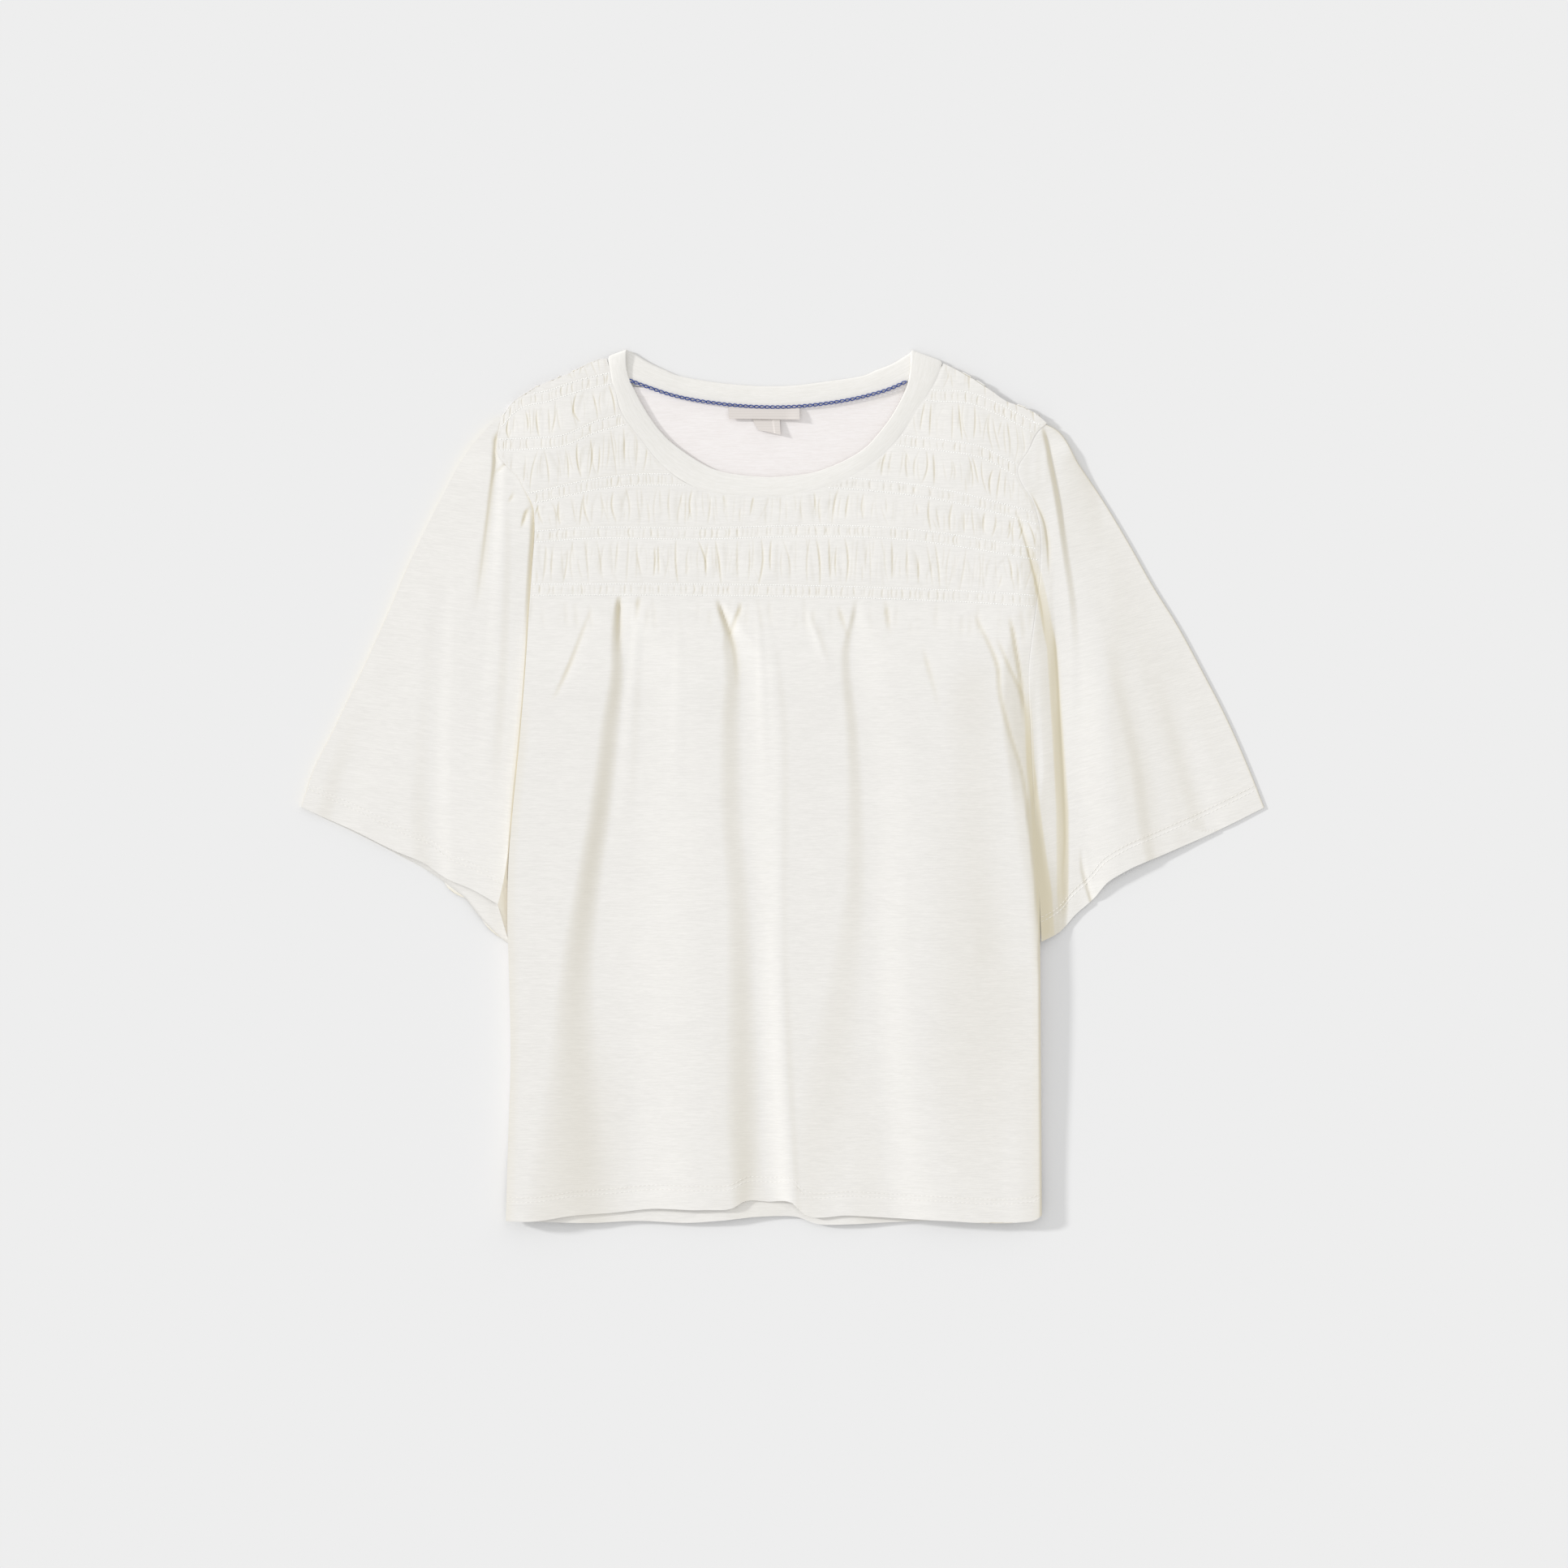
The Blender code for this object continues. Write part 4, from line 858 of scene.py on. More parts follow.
# ==== Sleeves ==============================================================================
# Each sleeve is a wide flared tube, one piece of jersey sewn into the armhole and folded
# flat: the upper layer, the fold along its outer edge, and the layer under it.
LEFT_OUTER = (
    (-193.3, 254.6), (-200, 251.2), (-207, 244.2), (-219.8, 227.8), (-231.6, 206.6),
    (-245.6, 179.2), (-259, 151.2), (-270.8, 123.2), (-296.5, 67.2), (-310, 39.2), (-324, 11.2),
    (-332.0, -13.5))
LEFT_HEM = (
    (-332.0, -14.8), (-318, -21.3), (-298.4, -29.7), (-265.7, -45.4), (-248, -52.6),
    (-233.2, -62.6), (-213.6, -71), (-196.5, -80.6))
LEFT_HEM_UNDER = (
    (-332.0, -14.8), (-318, -21.8), (-298.4, -30.6), (-265.7, -47), (-242, -59.5),
    (-234.5, -64.5), (-230.5, -70.5), (-226, -73.8), (-215.5, -79), (-210.8, -86),
    (-203, -97.5), (-188.4, -108.2))
RIGHT_OUTER = (
    (181.0, 250.4), (187.9, 247), (204.7, 221.8), (221.5, 196.6), (238.3, 168.6),
    (255.1, 138.9), (271.9, 112), (288.7, 81.2), (305.5, 48.7), (322.3, 10.6), (332.0, -14))
RIGHT_HEM = (
    (332.0, -15.2), (296.5, -32.5), (265.6, -45.9), (234.7, -59.4), (223.9, -66.1),
    (214.5, -77), (202.4, -87.6), (190, -100.5), (178, -106.5))
RIGHT_HEM_UNDER = (
    (332.0, -15.2), (296.5, -31.5), (265.6, -44), (234.7, -57), (223.9, -63), (213, -72),
    (202.4, -82), (190, -94), (178.0, -100))
# Folds of the sleeves, in rows as those of the front
LEFT_SLEEVE_FOLDS = (
    # trough beside the armhole, and the bright ridge on its right
    ((246, -197, 0, 3, 4), (239, -197.2, -0.5, 4, 5), (217, -197.2, -0.6, 4.5, 6),
     (203.5, -198, -0.45, 5, 7), (185.6, -199.5, -0.38, 6, 8), (162, -203, -0.28, 8, 10),
     (137.8, -207, -0.2, 10, 12), (108, -212, -0.1, 10, 12), (60, -218, 0, 12, 12)),
    ((204, -193, 0, 5, 5), (180, -193, 0.25, 7, 7), (100, -196, 0.3, 10, 8),
     (40, -200, 0.25, 12, 9), (-20, -206, 0, 14, 10)),
    # the long soft bands in the middle
    ((160, -232, 0, 10, 8), (100, -236, -0.3, 14, 10), (20, -240, -0.5, 18, 12),
     (-28, -241, -0.6, 18, 14), (-75, -238, -0.6, 16, 14)),
    ((60, -282, 0, 16, 20), (10, -300, -0.4, 16, 24), (-30, -312, -0.5, 14, 24)),
)
LEFT_SLEEVE_CREASES = (
    ((216, -198, 0, 1.0), (219, -195.5, 0.45, 1.2), (225, -188.5, 0.35, 1.2),
     (228, -186, 0, 1)),
    ((246, -196.5, 0, 1), (240, -197.6, 0.6, 1.3), (222, -198.6, 0.45, 1.4),
     (206, -200.6, 0.35, 1.8), (180, -203.5, 0.3, 2.2), (150, -207, 0.2, 2.6),
     (120, -211, 0, 3)),
    ((196, -189, 0, 1), (199, -187.2, 0.4, 1.1), (204, -185, 0, 1)),
    ((178, -180, 0, 1), (184, -178.4, 0.6, 1.3), (190, -176.4, 0.6, 1.4),
     (193, -174.5, 0, 1.2)),
)
RIGHT_SLEEVE_FOLDS = (
    # trough from the head of the sleeve
    ((250, 179.5, 0, 3, 6), (243.6, 181.7, -0.7, 3.5, 12), (220, 187, -1.2, 4.5, 20),
     (198, 191.6, -1.3, 5, 24), (160, 198, -1.1, 6, 28), (127, 203, -0.8, 6.5, 28),
     (96, 205.8, -0.4, 8, 26), (40, 207, -0.1, 9, 24), (-10, 206, 0, 10, 20)),
    # the soft troughs of the middle
    ((110, 229, 0, 10, 14), (75, 235, -0.35, 11, 16), (20, 248, -0.5, 11, 18),
     (-28, 254.5, -0.65, 11, 18), (-52, 258.5, -0.65, 9, 16)),
    ((80, 262, 0, 10, 14), (30, 276, -0.4, 12, 18), (-30, 294, -0.6, 14, 18)),
    # the fold that overlaps at the hem
    ((-40, 206, 0, 2, 3), (-58, 207, -0.3, 2.5, 5), (-80, 213.5, -0.4, 2.5, 5),
     (-92, 216, -0.4, 2.5, 5)),
)
RIGHT_SLEEVE_CREASES = (
    ((204, 170.5, 0, 1), (195.4, 175, 0.3, 1.3), (184, 180, 0.4, 1.5), (169.7, 182.6, 0.5, 1.6),
     (154, 183.6, 0.2, 1.6), (146, 184, 0, 1.4)),
    ARMHOLE_CREASE,
    ((112, 187, 0, 1.4), (96, 188.6, 0.25, 1.8), (39, 191.8, 0.3, 2), (0, 194, 0.25, 2),
     (-40, 195, 0.15, 2), (-70, 193, 0, 2)),
    ((248, 180, 0, 1), (240, 182, 0.35, 1.4), (210, 188.6, 0.3, 1.8), (170, 196, 0, 2)),
    ((-48, 205.5, 0, 1.2), (-60, 208, 0.2, 1.3), (-82, 213.8, 0.3, 1.3)),
)
# Height of the upper layer of the left and right sleeve: at its outer edge, and inside
SLEEVE_Z = ((3.3, 4.6), (0.95, 5.0))
SLEEVE_RISE = 95.0    # how far from its outer edge it reaches that
FOLD_Z = 0.7          # height of the fold line along the outer edge
SLEEVE_ROLL = (0.1, 0.5)   # width of the rounded fold on the left and the right
LEFT_LEAST, RIGHT_LEAST = 1.5, 0.95   # the upper layers stay above these heights
SLEEVE_MARK, TROUGH_MARK = 0.2, 0.42   # painted shade on the outer edge, and in the trough
UPRIGHT_FACE_SHADE, FOLD_FACE = 1.0, 0.12   # painted shade on the upright face of the left fold, so that it shines less, and that face's width
# The layer under the left sleeve lifts a little where it shows: how much, where, how wide
UNDER_LIFT, UNDER_AT, UNDER_WIDE = 1.7, (-214, -88), 26.0
UNDER_FOLD = (((-60, -216, 0, 6, 5), (-75, -213, 0.5, 7, 5), (-104, -206, 0.5, 7, 5)),)
# How much deeper the left sleeve lies along its seam: y, depth
SEAM_DIP = (
    (-108, 0.15), (-60, 0.25), (60, 0.25), (105, 0.2), (135, 0.12), (185, 0.08), (200, 0))
SEAM_ROLL = 3.6       # width of the slope down to the left armhole
# Width of the trough along that seam: low down, higher up, and from where over how far
TROUGH, TROUGH_HIGH, TROUGH_GROWS, TROUGH_ENDS = 1.4, 4.0, (95, 50), (196, 10)
TROUGH_SHOWS = ((206, 10), (-100, 60))   # its painted shade ends above and below over these
HEAD, HEAD_SIDE = (190, 35), 32.0   # where a sleeve has the height of the armhole's seam
LIFT_SHARE, LIFT_LEAST, EDGE_EASE = 0.55, 60.0, 12.0   # how soon hem and edge are left
# The sleeves start just inside and below the body's edge, and drop to that over this
TUCK, TUCK_DROP, TUCK_EASE = 0.25, 0.12, 1.2
# Height of the upper layer along the hem, by its share from the outer edge
LEFT_HEM_LIFT = ((0, 2.8), (0.25, 2.8), (0.5, 3.0), (0.75, 3.4), (1, 4.0))
RIGHT_HEM_LIFT = (
    (0, 0.95), (0.2, 1.4), (0.36, 2.2), (0.46, 3.5), (0.6, 3.9), (0.68, 3.5), (0.74, 2.4),
    (0.8, 1.2), (0.92, 1.1), (1, 3.2))
seam_dip = curve(SEAM_DIP)


def blended(bottom, top, left, right, across, up):
    """Like patch, but a bend of the top or bottom line is felt only close to it."""
    u, v = across[None, :, None], up[:, None, None]
    bends = [line - ((1 - across[:, None]) * line[0] + across[:, None] * line[-1])
             for line in (bottom, top)]
    return ((1 - u) * left[:, None] + u * right[:, None] + (1 - v) ** 2 * bends[0][None]
            + v ** 6 * bends[1][None])


def sleeve_layer(side, outer_edge, hem, across, up):
    """One layer of a sleeve as a flat grid, and how far each point is from its outer edge."""
    edge = left_edge if side < 0 else right_edge
    seam = edge_line(edge, UNDERARM_Y, outer_edge[0][1] - 3.0)[::-1] - (side * TUCK, 0)
    seam[0] = outer_edge[0]
    corner = np.array(hem[-1], dtype=float)
    y = np.linspace(corner[1], UNDERARM_Y, 300)
    share = (UNDERARM_Y - y) / (UNDERARM_Y - corner[1])
    away = corner[0] - float(edge(corner[1])) + side * TUCK
    inner_edge = np.stack([edge(y) - side * TUCK + away * share ** 6, y], 1)
    grid = blended(along(smooth_line(hem), across), along(seam, across),
                   along(smooth_line(outer_edge)[::-1], up), along(inner_edge, up), across, up)
    gaps = np.linalg.norm(np.diff(grid, axis=1), axis=2)
    return grid, np.concatenate([np.zeros((len(grid), 1)), np.cumsum(gaps, axis=1)], 1)


def upper_height(side, grid, run, outer_edge, hem, folds, thin_creases, lift):
    """The height of the upper layer of a sleeve, and how much painted shade each point takes."""
    x, y = grid[:, :, 0], grid[:, :, 1]
    edge = left_edge if side < 0 else right_edge
    to_seam = distance_to(edge_line(edge, hem[-1][1], outer_edge[0][1] - 3.0)[::6], x, y)
    climb, edge_z = climbed(grid), seam_height(x, y)
    start, level = SLEEVE_Z[side > 0]
    z = start + (level - start) * smooth_step((run + EDGE_EASE) / (SLEEVE_RISE + EDGE_EASE))
    low = curve(lift)(run / run[:, -1:])
    z = low + (z - low) * smooth_step(climb / np.maximum(climb[-1:], LIFT_LEAST) / LIFT_SHARE)
    z = z + (edge_z - z) * smooth_step((y - HEAD[0]) / HEAD[1]) * (
        1 - smooth_step(to_seam / HEAD_SIDE))
    if side < 0:
        z = np.maximum(z + relief(folds, x, y), LEFT_LEAST)
        z = edge_z + (z - edge_z) * smooth_step(to_seam / SEAM_ROLL)
        wider = (smooth_step((y - TROUGH_GROWS[0]) / TROUGH_GROWS[1])
                 * smooth_step((TROUGH_ENDS[0] - y) / TROUGH_ENDS[1]))
        gap = TROUGH + (TROUGH_HIGH - TROUGH) * wider
        trough = smooth_step((gap - to_seam) / gap)
        z = z - seam_dip(y) * trough
        (high, high_fade), (deep, deep_fade) = TROUGH_SHOWS
        shown = smooth_step((high - y) / high_fade) * smooth_step((y - deep) / deep_fade)
        # Painted shade on the upright face of the left fold, and along the trough by the seam
        mark = UPRIGHT_FACE_SHADE * (run < FOLD_FACE) + TROUGH_MARK * shown * trough
    else:
        z = np.maximum(right_side(x, y, z) + relief(folds, x, y), RIGHT_LEAST)
        # Painted shade along the outer edge, and in the golden bands by the body
        mark = SLEEVE_MARK * smooth_step((2.2 - run) / 1.8) + painted_band_shade(SIDE_SHADE_BANDS, x, y)
    thin, thin_mark = creases(thin_creases, x, y)
    z = z - thin + hem_hollow(climb) - TUCK_DROP * smooth_step(
        (TUCK_EASE - to_seam) / TUCK_EASE)
    z = FOLD_Z + (z - FOLD_Z) * roll(run, SLEEVE_ROLL[side > 0])
    return z, np.clip(thin_mark, 0, 1) * CREASE_MARK + mark


def make_sleeve(name, side, slant, outer_edge, hem, hem_under, folds, thin_creases, lift):
    """A whole sleeve, and the face of its upper layer. side is -1 for the left one and 1 for
    the right one, and slant turns its knit, in radians."""
    up = spaced(288, 300)
    grid, run = sleeve_layer(side, outer_edge, hem, spaced(192, 180), up)
    z, mark = upper_height(side, grid, run, outer_edge, hem, folds, thin_creases, lift)
    upper = np.dstack([grid, z])
    grid, run = sleeve_layer(side, outer_edge, hem_under, spaced(48, 180), up)
    x, y = grid[:, :, 0], grid[:, :, 1]
    z = FOLD_Z * (1 - roll(run, 1.0)) + UNDER_LIFT * np.exp(
        -((x - UNDER_AT[0]) / UNDER_WIDE) ** 2 - ((y - UNDER_AT[1]) / UNDER_WIDE) ** 2)
    layers = [upper, np.dstack([grid, np.maximum(z - relief(UNDER_FOLD, x, y), 0)])]
    marks = [mark, np.zeros(z.shape)]
    flipped = 1 if side < 0 else 0          # so that both rings run the same way round
    for pair in (layers, marks):
        pair[flipped] = pair[flipped][:, ::-1]
    ring, count = np.concatenate(layers, 1), mark.shape[1]
    ups = np.where(np.arange(ring.shape[1]) < count, 1.0, -1.0)
    normals = skin_normals(ring, True)
    upright = np.zeros(ring.shape)
    upright[:, :, 2] = ups
    steep = normals[:, :, 2] * ups < 0.05   # these lean the wrong way, or nearly
    normals[steep] = upright[steep]
    low = ring.copy()
    low[:, :count, 2] = lowest_near(ring[:, :, 2], SLEEVE_STEP)[:, :count]
    inner = (low - (JERSEY_WALL - LOW_SPARE) * normals)[::SLEEVE_STEP, ::SLEEVE_STEP]
    rim = (ring - JERSEY_WALL * normals)[::SLEEVE_STEP, ::SLEEVE_STEP]
    inner[0], inner[-1] = rim[0], rim[-1]
    inner[:, :, 2] = np.maximum(inner[:, :, 2], 0)
    turn = np.array(((np.cos(slant), -np.sin(slant)), (np.sin(slant), np.cos(slant))))
    piece = cloth(name, ring, inner, SLEEVE_STEP, True, ring[:, :, :2] @ turn.T,
                  np.concatenate(marks, 1))
    piece.data.materials.append(jersey_face)
    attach(piece, "root")
    return piece, ring[:, :count]


SLEEVE_STEP = 4       # the coarse inner face has every so many grid lines of the outer one
left_sleeve, left_face = make_sleeve("sleeve_left_cloth", -1, 0.12, LEFT_OUTER, LEFT_HEM,
                                     LEFT_HEM_UNDER, LEFT_SLEEVE_FOLDS, LEFT_SLEEVE_CREASES,
                                     LEFT_HEM_LIFT)
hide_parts("sleeve_left")
right_sleeve, right_face = make_sleeve("sleeve_right_cloth", 1, -0.25, RIGHT_OUTER, RIGHT_HEM,
                                       RIGHT_HEM_UNDER, RIGHT_SLEEVE_FOLDS,
                                       RIGHT_SLEEVE_CREASES, RIGHT_HEM_LIFT)
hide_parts("sleeve_right")


# ==== Neckband =============================================================================
# A straight strip of the same jersey, folded double along its free edge and sewn round the
# neck. It lies nearly flat, 13 mm wide, and doubles over the shoulders.
# Stations round it: x, y, z of the free edge, then x, y, z of the sewn edge
NECKBAND = (
    (-108.0, 299.6, 3.0, -120.4, 293.6, 2.45), (-107.8, 289.5, 2.7, -119.0, 286.0, 2.75),
    (-105.6, 281, 2.3, -117.6, 278.0, 2.95), (-101.6, 272.7, 2.0, -114.2, 265.7, 3.15),
    (-97.2, 264.3, 1.95, -110.4, 254, 3.35), (-91, 254.2, 1.9, -104, 245, 3.35),
    (-83.7, 244.7, 1.9, -95, 234, 3.35), (-73.6, 235.2, 1.9, -83.4, 220.8, 3.35),
    (-54, 222.3, 1.95, -62.4, 207.4, 3.35), (-37.8, 216.7, 2.1, -42, 201.4, 3.35),
    (-13.2, 213.9, 2.2, -14, 200.1, 3.35), (3, 214.6, 2.3, 5, 200.8, 3.35),
    (19.9, 216.7, 2.5, 24.6, 205, 3.35), (34, 221.4, 2.8, 40.6, 210.4, 3.35),
    (46.8, 227.4, 3.2, 54.6, 217.8, 3.35), (56, 233.4, 3.4, 64.8, 225, 3.35),
    (63, 240.2, 3.5, 74, 233, 3.35), (74.8, 255.4, 3.6, 86, 248, 3.35),
    (84.3, 273.3, 3.2, 99.4, 268.4, 3.05), (87.6, 286.2, 2.95, 106.6, 281.6, 2.75),
    (88.2, 298.4, 2.6, 109.4, 290.4, 2.45), (88.8, 300.6, 2.0, 109.2, 293.6, 2.2),
    (88.6, 300.4, 1.3, 105.6, 293.4, 1.5), (88, 299.8, 0.8, 98, 289.6, 1.2),
    (87.1, 299.2, 0.8, 87, 279.8, 1.4), (75.9, 292.3, 0.8, 73, 273.2, 1.4),
    (64.7, 287.8, 0.8, 58, 269, 1.4), (53.5, 283.4, 0.8, 43, 265.8, 1.4),
    (31, 280, 0.8, 27.7, 263.4, 1.4), (8.7, 277.2, 0.8, 8, 261.8, 1.4),
    (-10, 276.6, 0.8, -10, 261.5, 1.4), (-25, 277.2, 0.8, -25, 262, 1.4),
    (-47.3, 279.4, 0.8, -47, 264, 1.4), (-69.7, 283.4, 0.8, -62, 266.2, 1.4),
    (-81, 287.8, 0.8, -77, 269.6, 1.4), (-92, 292.9, 0.8, -92, 274.4, 1.4),
    (-103.3, 299.7, 0.8, -104, 279, 1.4), (-105.6, 300.6, 0.8, -113, 289, 1.2),
    (-106.6, 300.9, 1.3, -117.4, 294.2, 1.5), (-107.4, 301.2, 2.0, -119.6, 297.0, 2.2))
BAND_THICK, BAND_WIDTH, BAND_STEPS = 1.3, 13.0, 480
# The band's section: share of the way from free edge to sewn edge, share of its thickness
BAND_SECTION = (
    (0.0, 0.0), (0.004, 0.36), (0.014, 0.46), (0.06, 0.5), (0.3, 0.52), (0.5, 0.5), (0.7, 0.45),
    (0.88, 0.36), (0.97, 0.24), (0.994, 0.12), (1.0, 0.0), (0.99, -0.4), (0.9, -0.5),
    (0.5, -0.5), (0.1, -0.5), (0.01, -0.34))


def closed_line(points, count):
    """A smooth closed line, from points on it."""
    line = np.array(points, dtype=float)
    wrapped = np.concatenate([line[-3:], line, line[:3]])
    at = np.arange(len(wrapped)) - 3.0
    t = np.linspace(0, len(line), count, endpoint=False)
    return np.stack([curve(np.stack([at, wrapped[:, c]], 1))(t)
                     for c in range(line.shape[1])], 1)


band_line = closed_line(NECKBAND, BAND_STEPS)
free, sewn = band_line[:, :3], band_line[:, 3:]
forward = np.roll(free + sewn, -1, axis=0) - np.roll(free + sewn, 1, axis=0)
facing = np.cross(forward, free - sewn)
facing /= np.linalg.norm(facing, axis=1, keepdims=True)
section = np.array(BAND_SECTION)
band_points = (free[:, None] + (sewn - free)[:, None] * section[None, :, :1]
               + facing[:, None] * BAND_THICK * section[None, :, 1:])
sides = len(section)
band_faces = [(j * sides + i, j * sides + (i + 1) % sides,
               (j + 1) % BAND_STEPS * sides + (i + 1) % sides, (j + 1) % BAND_STEPS * sides + i)
              for j in range(BAND_STEPS) for i in range(sides)]
neckband = new_piece("neckband_cloth", band_points.reshape(-1, 3), band_faces)
lay_out(neckband.data, np.stack([
    np.repeat(lengths(free)[:, None], sides, 1),
    np.repeat(section[None, :, 0] * BAND_WIDTH, BAND_STEPS, 0)], -1).reshape(-1, 2))
# Folded double, the jersey lets less light through and looks a little denser
neckband.data.materials.append(
    slub_jersey("jersey of the neckband", "#ECEAE6", "#E5E3DE", PAINTED_FOLD_SHADE))
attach(neckband, "root")
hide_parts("neckband")


# ==== Blue chain stitch ====================================================================
# The seam of the back neck is covered by a decorative chain stitch in blue polyester thread,
# one loop drawn through the next, about 3.7 mm a loop.
CHAIN_LINE = (
    (-106, 280.6), (-92.1, 275.5), (-77, 270.5), (-61.9, 267.1), (-47.3, 264.9), (-32.2, 263.2),
    (-9.8, 262.1), (11.5, 262.6), (27.7, 264.3), (42.8, 266.6), (58, 269.9), (73.1, 274.4),
    (88, 281))
LOOP_PITCH, LOOP_LENGTH, LOOP_WIDTH, THREAD = 3.7, 4.4, 2.4, 0.36
LOOP_PINCH, LOOP_TILT, CHAIN_Z = 0.6, 0.28, 2.75   # a loop narrows and rises towards its tip


def small_shape(source):
    """The points and faces of an object, which is then removed. The faces are put in one
    order, because they are not made in the same order each run."""
    points = np.array([v.co[:] for v in source.data.vertices])
    faces = sorted(tuple(p.vertices) for p in source.data.polygons)
    bpy.data.objects.remove(source, do_unlink=True)
    return points, faces


def copies(name, placed, shape_faces):
    """One piece made of copies of a small shape, from the points of each copy."""
    faces = [tuple(i + k * len(placed[0]) for i in face)
             for k in range(len(placed)) for face in shape_faces]
    return new_piece(name, np.concatenate(placed), faces)


TUBE = 0.3            # thickness of the torus that a loop is bent from
bpy.ops.mesh.primitive_torus_add(major_segments=14, minor_segments=6, major_radius=1.0,
                                 minor_radius=TUBE, location=(0, 0, 0))
loop, loop_faces = small_shape(bpy.context.object)
angle = np.arctan2(loop[:, 1], loop[:, 0])
tube = loop - np.stack([np.cos(angle), np.sin(angle), 0 * angle], 1)
loop = np.stack([np.cos(angle) * (LOOP_LENGTH / 2 - THREAD),
                 np.sin(angle) * (LOOP_WIDTH / 2 - THREAD) * (1 - LOOP_PINCH * np.cos(angle)),
                 LOOP_TILT * np.cos(angle)], 1) + tube / TUBE * THREAD
chain = smooth_line(CHAIN_LINE)
chain_run = lengths(chain)
loops = []
for k in range(int(chain_run[-1] / LOOP_PITCH)):
    at = (k + 0.5) * LOOP_PITCH
    here, ahead = [np.array([np.interp(t, chain_run, chain[:, c]) for c in (0, 1)])
                   for t in (at, at + 0.5)]
    ahead = (ahead - here) / np.linalg.norm(ahead - here)
    loops.append(np.stack([here[0] + loop[:, 0] * ahead[0] - loop[:, 1] * ahead[1],
                           here[1] + loop[:, 0] * ahead[1] + loop[:, 1] * ahead[0],
                           CHAIN_Z + loop[:, 2]], 1))
chain_piece = copies("blue_chain_stitch", loops, loop_faces)


PLY = 0.5             # length of one turn of the plies


def spun_thread(name, dark, light, roughness):
    """Sewing thread: two twisted plies, seen as short lighter and darker patches."""
    material, tree, shader = new_material(name, Roughness=roughness)
    place = add(tree, "ShaderNodeTexCoord")
    twist = add(tree, "ShaderNodeTexNoise", [("Vector", place, "Object")],
                [("Scale", 1 / (PLY * MM)), ("Detail", 1)])
    two_tones(tree, shader, twist, "Fac", dark, light)
    raised(tree, shader, twist, "Fac", 0.5, 0.1)
    return material


chain_piece.data.materials.append(spun_thread("blue polyester thread", "#1A3278", "#2F4FA2", 0.55))
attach(chain_piece, "root")


# ==== Elastic threads and hem stitches ====================================================
# Each row of gathers is sewn with two lines of thin white elastic thread. The hems are held
# by two rows of cover stitch in matching thread, 3 mm apart. The stitches are copies of one.
bpy.ops.mesh.primitive_uv_sphere_add(segments=6, ring_count=5, radius=1)
stitch, stitch_faces = small_shape(bpy.context.object)


def stitched(name, lines, material, length, gap, radius, sway=0.0):
    """Copies of one small rounded stitch along lines of points x, y, z. sway is how far
    its ends lean to either side, one stitch after the other."""
    placed = []
    for line in lines:
        run = lengths(line)
        for number, start in enumerate(np.arange(0.5 * gap, run[-1] - length, length + gap)):
            first, last = [np.array([np.interp(start + t, run, line[:, c]) for c in range(3)])
                           for t in (0, length)]
            size = np.linalg.norm(last - first)
            if size < 0.5 * length:
                continue
            side = np.array((first[1] - last[1], last[0] - first[0], 0)) / size
            half = (last - first) / 2 + side * sway * (1 if number % 2 else -1)
            placed.append((first + last) / 2 + stitch[:, 2:] * half
                          + radius * (stitch[:, :1] * np.array((0, 0, 1))
                                      + stitch[:, 1:2] * side))
    piece = copies(name, placed, stitch_faces)
    piece.data.materials.append(material)
    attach(piece, "root")
    return piece


elastic_thread = spun_thread("white elastic thread", "#F4F4F1", "#FBFBF9", 0.7)
hem_thread = spun_thread("off-white sewing thread", "#EDEAE4", "#F6F4EF", 0.6)
WAVE, WAVE_LENGTH = 0.35, 3.5    # a thread sways to and fro with the beads
ELASTIC_RAISE, HEM_RAISE = 0.02, 0.03   # the middles of the stitches lie above the cloth
ROW_GAP = 3.0         # between the two rows of cover stitch
NECK_SIDES = (-121.0, 112.0)     # beyond these the rows pass beside the neck
elastic_lines = []
for row, line_curve in enumerate(elastic_rows):
    for offset in (-PAIR / 2, PAIR / 2):
        x = np.arange(TABLE_LEFT + 5, TABLE_RIGHT - 5, 0.6)
        y = line_curve(x) + offset + WAVE * np.sin(x * 2 * np.pi / WAVE_LENGTH + row)
        neck = np.interp(x, front_neck[:, 0], front_neck[:, 1])
        beside = (x < NECK_SIDES[0]) | (x > NECK_SIDES[1])
        shown = (inward(x, y) > 1.2) & (beside | (y < neck - 1.0))
        shown &= shoulder_distance(x, y) > 2.0
        z = front_height(x, y)[0]
        splits = np.flatnonzero(np.diff(shown.astype(int))) + 1
        for part in np.split(np.arange(len(x)), splits):
            if shown[part[0]] and len(part) > 6:
                elastic_lines.append(np.stack([x, y, z + ELASTIC_RAISE], 1)[part])
elastic = stitched("elastic_stitches", elastic_lines, elastic_thread, length=1.7, gap=0.2,
                   radius=0.28, sway=0.14)


def hem_lines(grid, offset):
    """A line at a distance above the lower edge of a grid of points x, y, z."""
    climb = climbed(grid[:, :, :2])
    line = [[np.interp(offset, climb[:, i], grid[:, i, c]) for c in range(3)]
            for i in range(grid.shape[1])]
    return np.array(line) + (0, 0, HEM_RAISE)


stitch_lines = [hem_lines(face, HEM_STITCH + offset)[3:-3]
                for offset in (-ROW_GAP / 2, ROW_GAP / 2)
                for face in (skirt_face, left_face, right_face)]
hems = stitched("hem_stitches", stitch_lines, hem_thread, length=2.4, gap=0.7, radius=0.18)


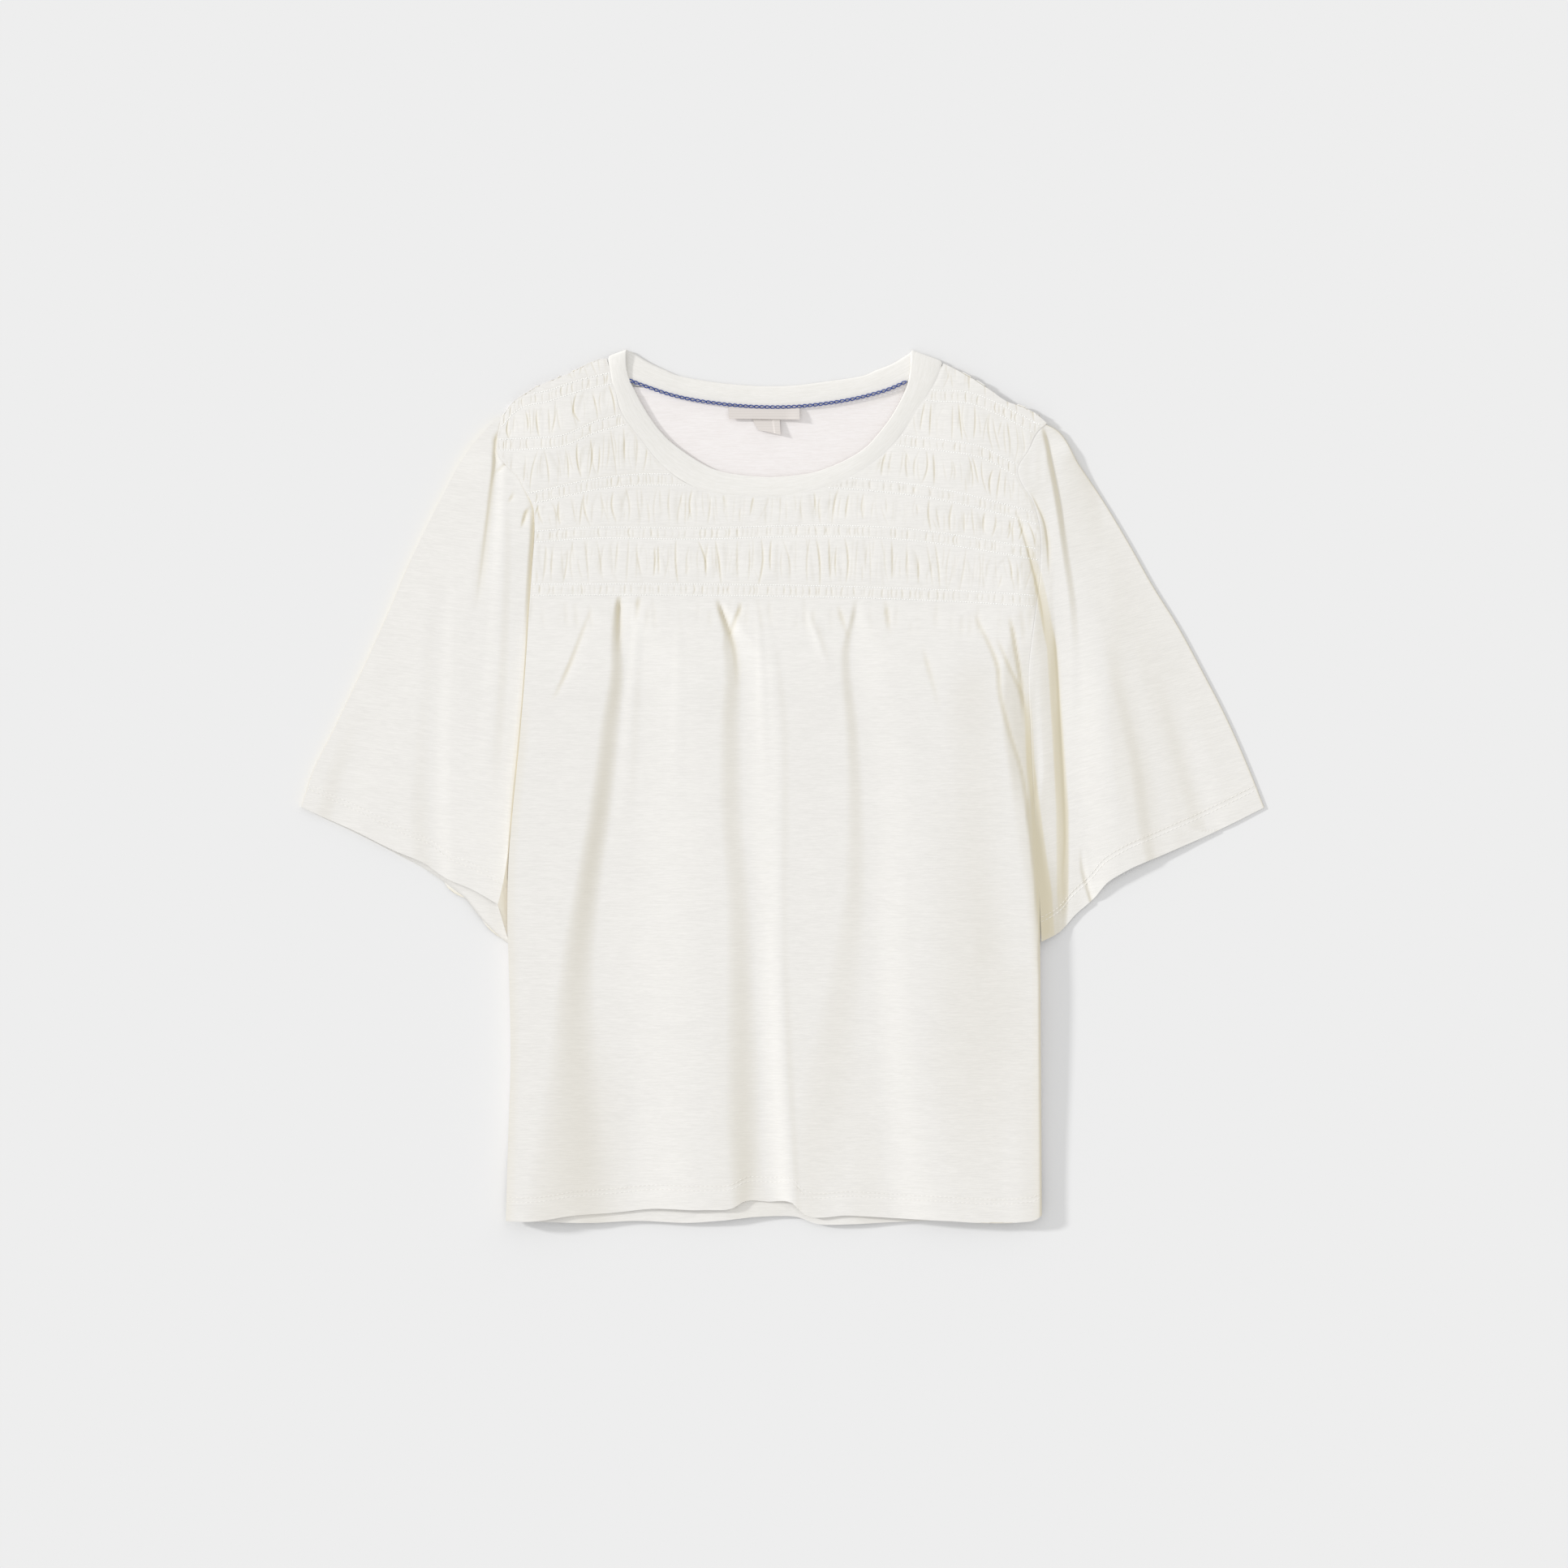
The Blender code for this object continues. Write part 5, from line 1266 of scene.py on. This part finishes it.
# ==== Neck label and size tab ==============================================================
# A woven satin label is sewn in under the neckband at the centre back, and a small folded
# tab of the same satin hangs below it. Both are bare.
LABEL = ((-37.2, 262.6), (11.6, 263.0), (11.6, 253.4), (-37.2, 254.0))   # corners, clockwise
TAB = ((-21.5, 254.6), (-2.2, 254.4), (-1.6, 242.8), (-17.0, 246.4))
SATIN_WALL, LABEL_Z, TAB_Z = 0.45, 2.45, 1.75
STAND_OFF = 0.5       # the lower edges stand this far off the cloth
LABEL_CURL, PRESSED, TAB_TWIST, LEAF = 1.1, 0.35, 1.0, 0.3
WEAVE = 0.9           # width of a rib of the weave, drawn coarser than the real one
# The long floats of the satin give it a soft shine, with fine ribs across
satin, tree, shader = new_material("woven grey satin", Roughness=0.5, Sheen_Weight=0.1)
place = add(tree, "ShaderNodeUVMap", uv_map="cloth")
ribs = add(tree, "ShaderNodeTexWave", [("Vector", place, "UV")],
           [("Scale", 1 / (WEAVE * MM) / 6.28), ("Distortion", 0.6), ("Detail", 1)],
           bands_direction="Y")
two_tones(tree, shader, ribs, "Fac", "#D5CEC9", "#DAD4CF")


def satin_piece(name, corners, base, lift, node):
    """A small strip of satin: its corners, and its lift at shares across and up it."""
    a, b, c, d = [np.array(corner) for corner in corners]
    u, v = np.meshgrid(np.linspace(0, 1, 41), np.linspace(0, 1, 13))
    s, t = u[:, :, None], v[:, :, None]
    outer = np.dstack([(1 - t) * ((1 - s) * d + s * c) + t * ((1 - s) * a + s * b),
                       base + lift(u, v)])
    piece = cloth(name, outer, (outer - (0, 0, SATIN_WALL))[::2, ::2], 2)
    piece.data.materials.append(satin)
    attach(piece, "root")
    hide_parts(node)
    return piece


def label_lift(u, v):
    """How the label stands off: its lower edge is pressed flat, and its right corner curls."""
    curl = LABEL_CURL * smooth_step((u - 0.8) / 0.2)
    pressed = PRESSED * np.exp(-((v - 0.12) / 0.05) ** 2) * smooth_step((u - 0.3) / 0.1)
    return STAND_OFF * (1 - v) + curl * (1 - v) - pressed


def tab_lift(u, v):
    """How the tab stands off: it is twisted, and its other leaf shows as a step."""
    return STAND_OFF * (1 - v) + TAB_TWIST * u * (1 - v) + LEAF * smooth_step((u - 0.72) / 0.04)


label = satin_piece("neck_label_satin", LABEL, LABEL_Z, label_lift, "neck_label")
tab = satin_piece("size_tab_satin", TAB, TAB_Z, tab_lift, "size_tab")


# ==== Floor, light and camera ==============================================================
# A pale matt table under a low soft key light from the left and a broad even fill. The
# camera hangs over the middle and looks straight down.
FLOOR_TONE, KEY_SHARE = 0.855, 0.21   # brightness of the floor, and the key's share of it
FLOOR_Z, FLOOR_SIZE = -0.2, 12
FLOOR_COLOUR = "#E7E7E7"
bpy.ops.mesh.primitive_plane_add(size=FLOOR_SIZE)
floor = bpy.context.object
floor.name = "floor"
bpy.ops.object.mode_set(mode="EDIT")
bpy.ops.mesh.select_all(action="SELECT")
bpy.ops.transform.translate(value=(0, 0, FLOOR_Z * MM))
bpy.ops.object.mode_set(mode="OBJECT")
bpy.ops.object.select_all(action="DESELECT")
# Plain and quite matt, so that only the shadows show on it
paper, _, shader = new_material("matt white paper", Roughness=1.0, Specular_IOR_Level=0.0)
shader.inputs["Base Color"].default_value = linear(FLOOR_COLOUR)
floor.data.materials.append(paper)
total = FLOOR_TONE / linear(FLOOR_COLOUR)[0]
world = bpy.data.worlds.new("even fill")
world.use_nodes = True
fill = world.node_tree.nodes["Background"]
fill.inputs["Color"].default_value = (1, 1, 1, 1)
fill.inputs["Strength"].default_value = total * (1 - KEY_SHARE)
bpy.context.scene.world = world
key = bpy.data.lights.new("key", "SUN")
key.energy = total * KEY_SHARE * np.pi / np.sin(KEY_ELEVATION)
key.angle = np.radians(5.0)
key_object = bpy.data.objects.new("key", key)
toward = Vector((-np.cos(KEY_FROM) * np.cos(KEY_ELEVATION),
                 -np.sin(KEY_FROM) * np.cos(KEY_ELEVATION), -np.sin(KEY_ELEVATION)))
key_object.rotation_mode = "QUATERNION"
key_object.rotation_quaternion = toward.to_track_quat("-Z", "Y")
bpy.context.scene.collection.objects.link(key_object)
FRAME_WIDTH, CAMERA_HEIGHT, SENSOR = 1.0819, 3.0, 36.0
lens = bpy.data.cameras.new("camera")
lens.sensor_width = SENSOR
lens.lens = SENSOR * CAMERA_HEIGHT / FRAME_WIDTH
camera = bpy.data.objects.new("camera", lens)
camera.location = (0.0008, 0.0022, CAMERA_HEIGHT)
bpy.context.scene.collection.objects.link(camera)
bpy.context.scene.camera = camera
bpy.context.scene.view_settings.view_transform = "Standard"
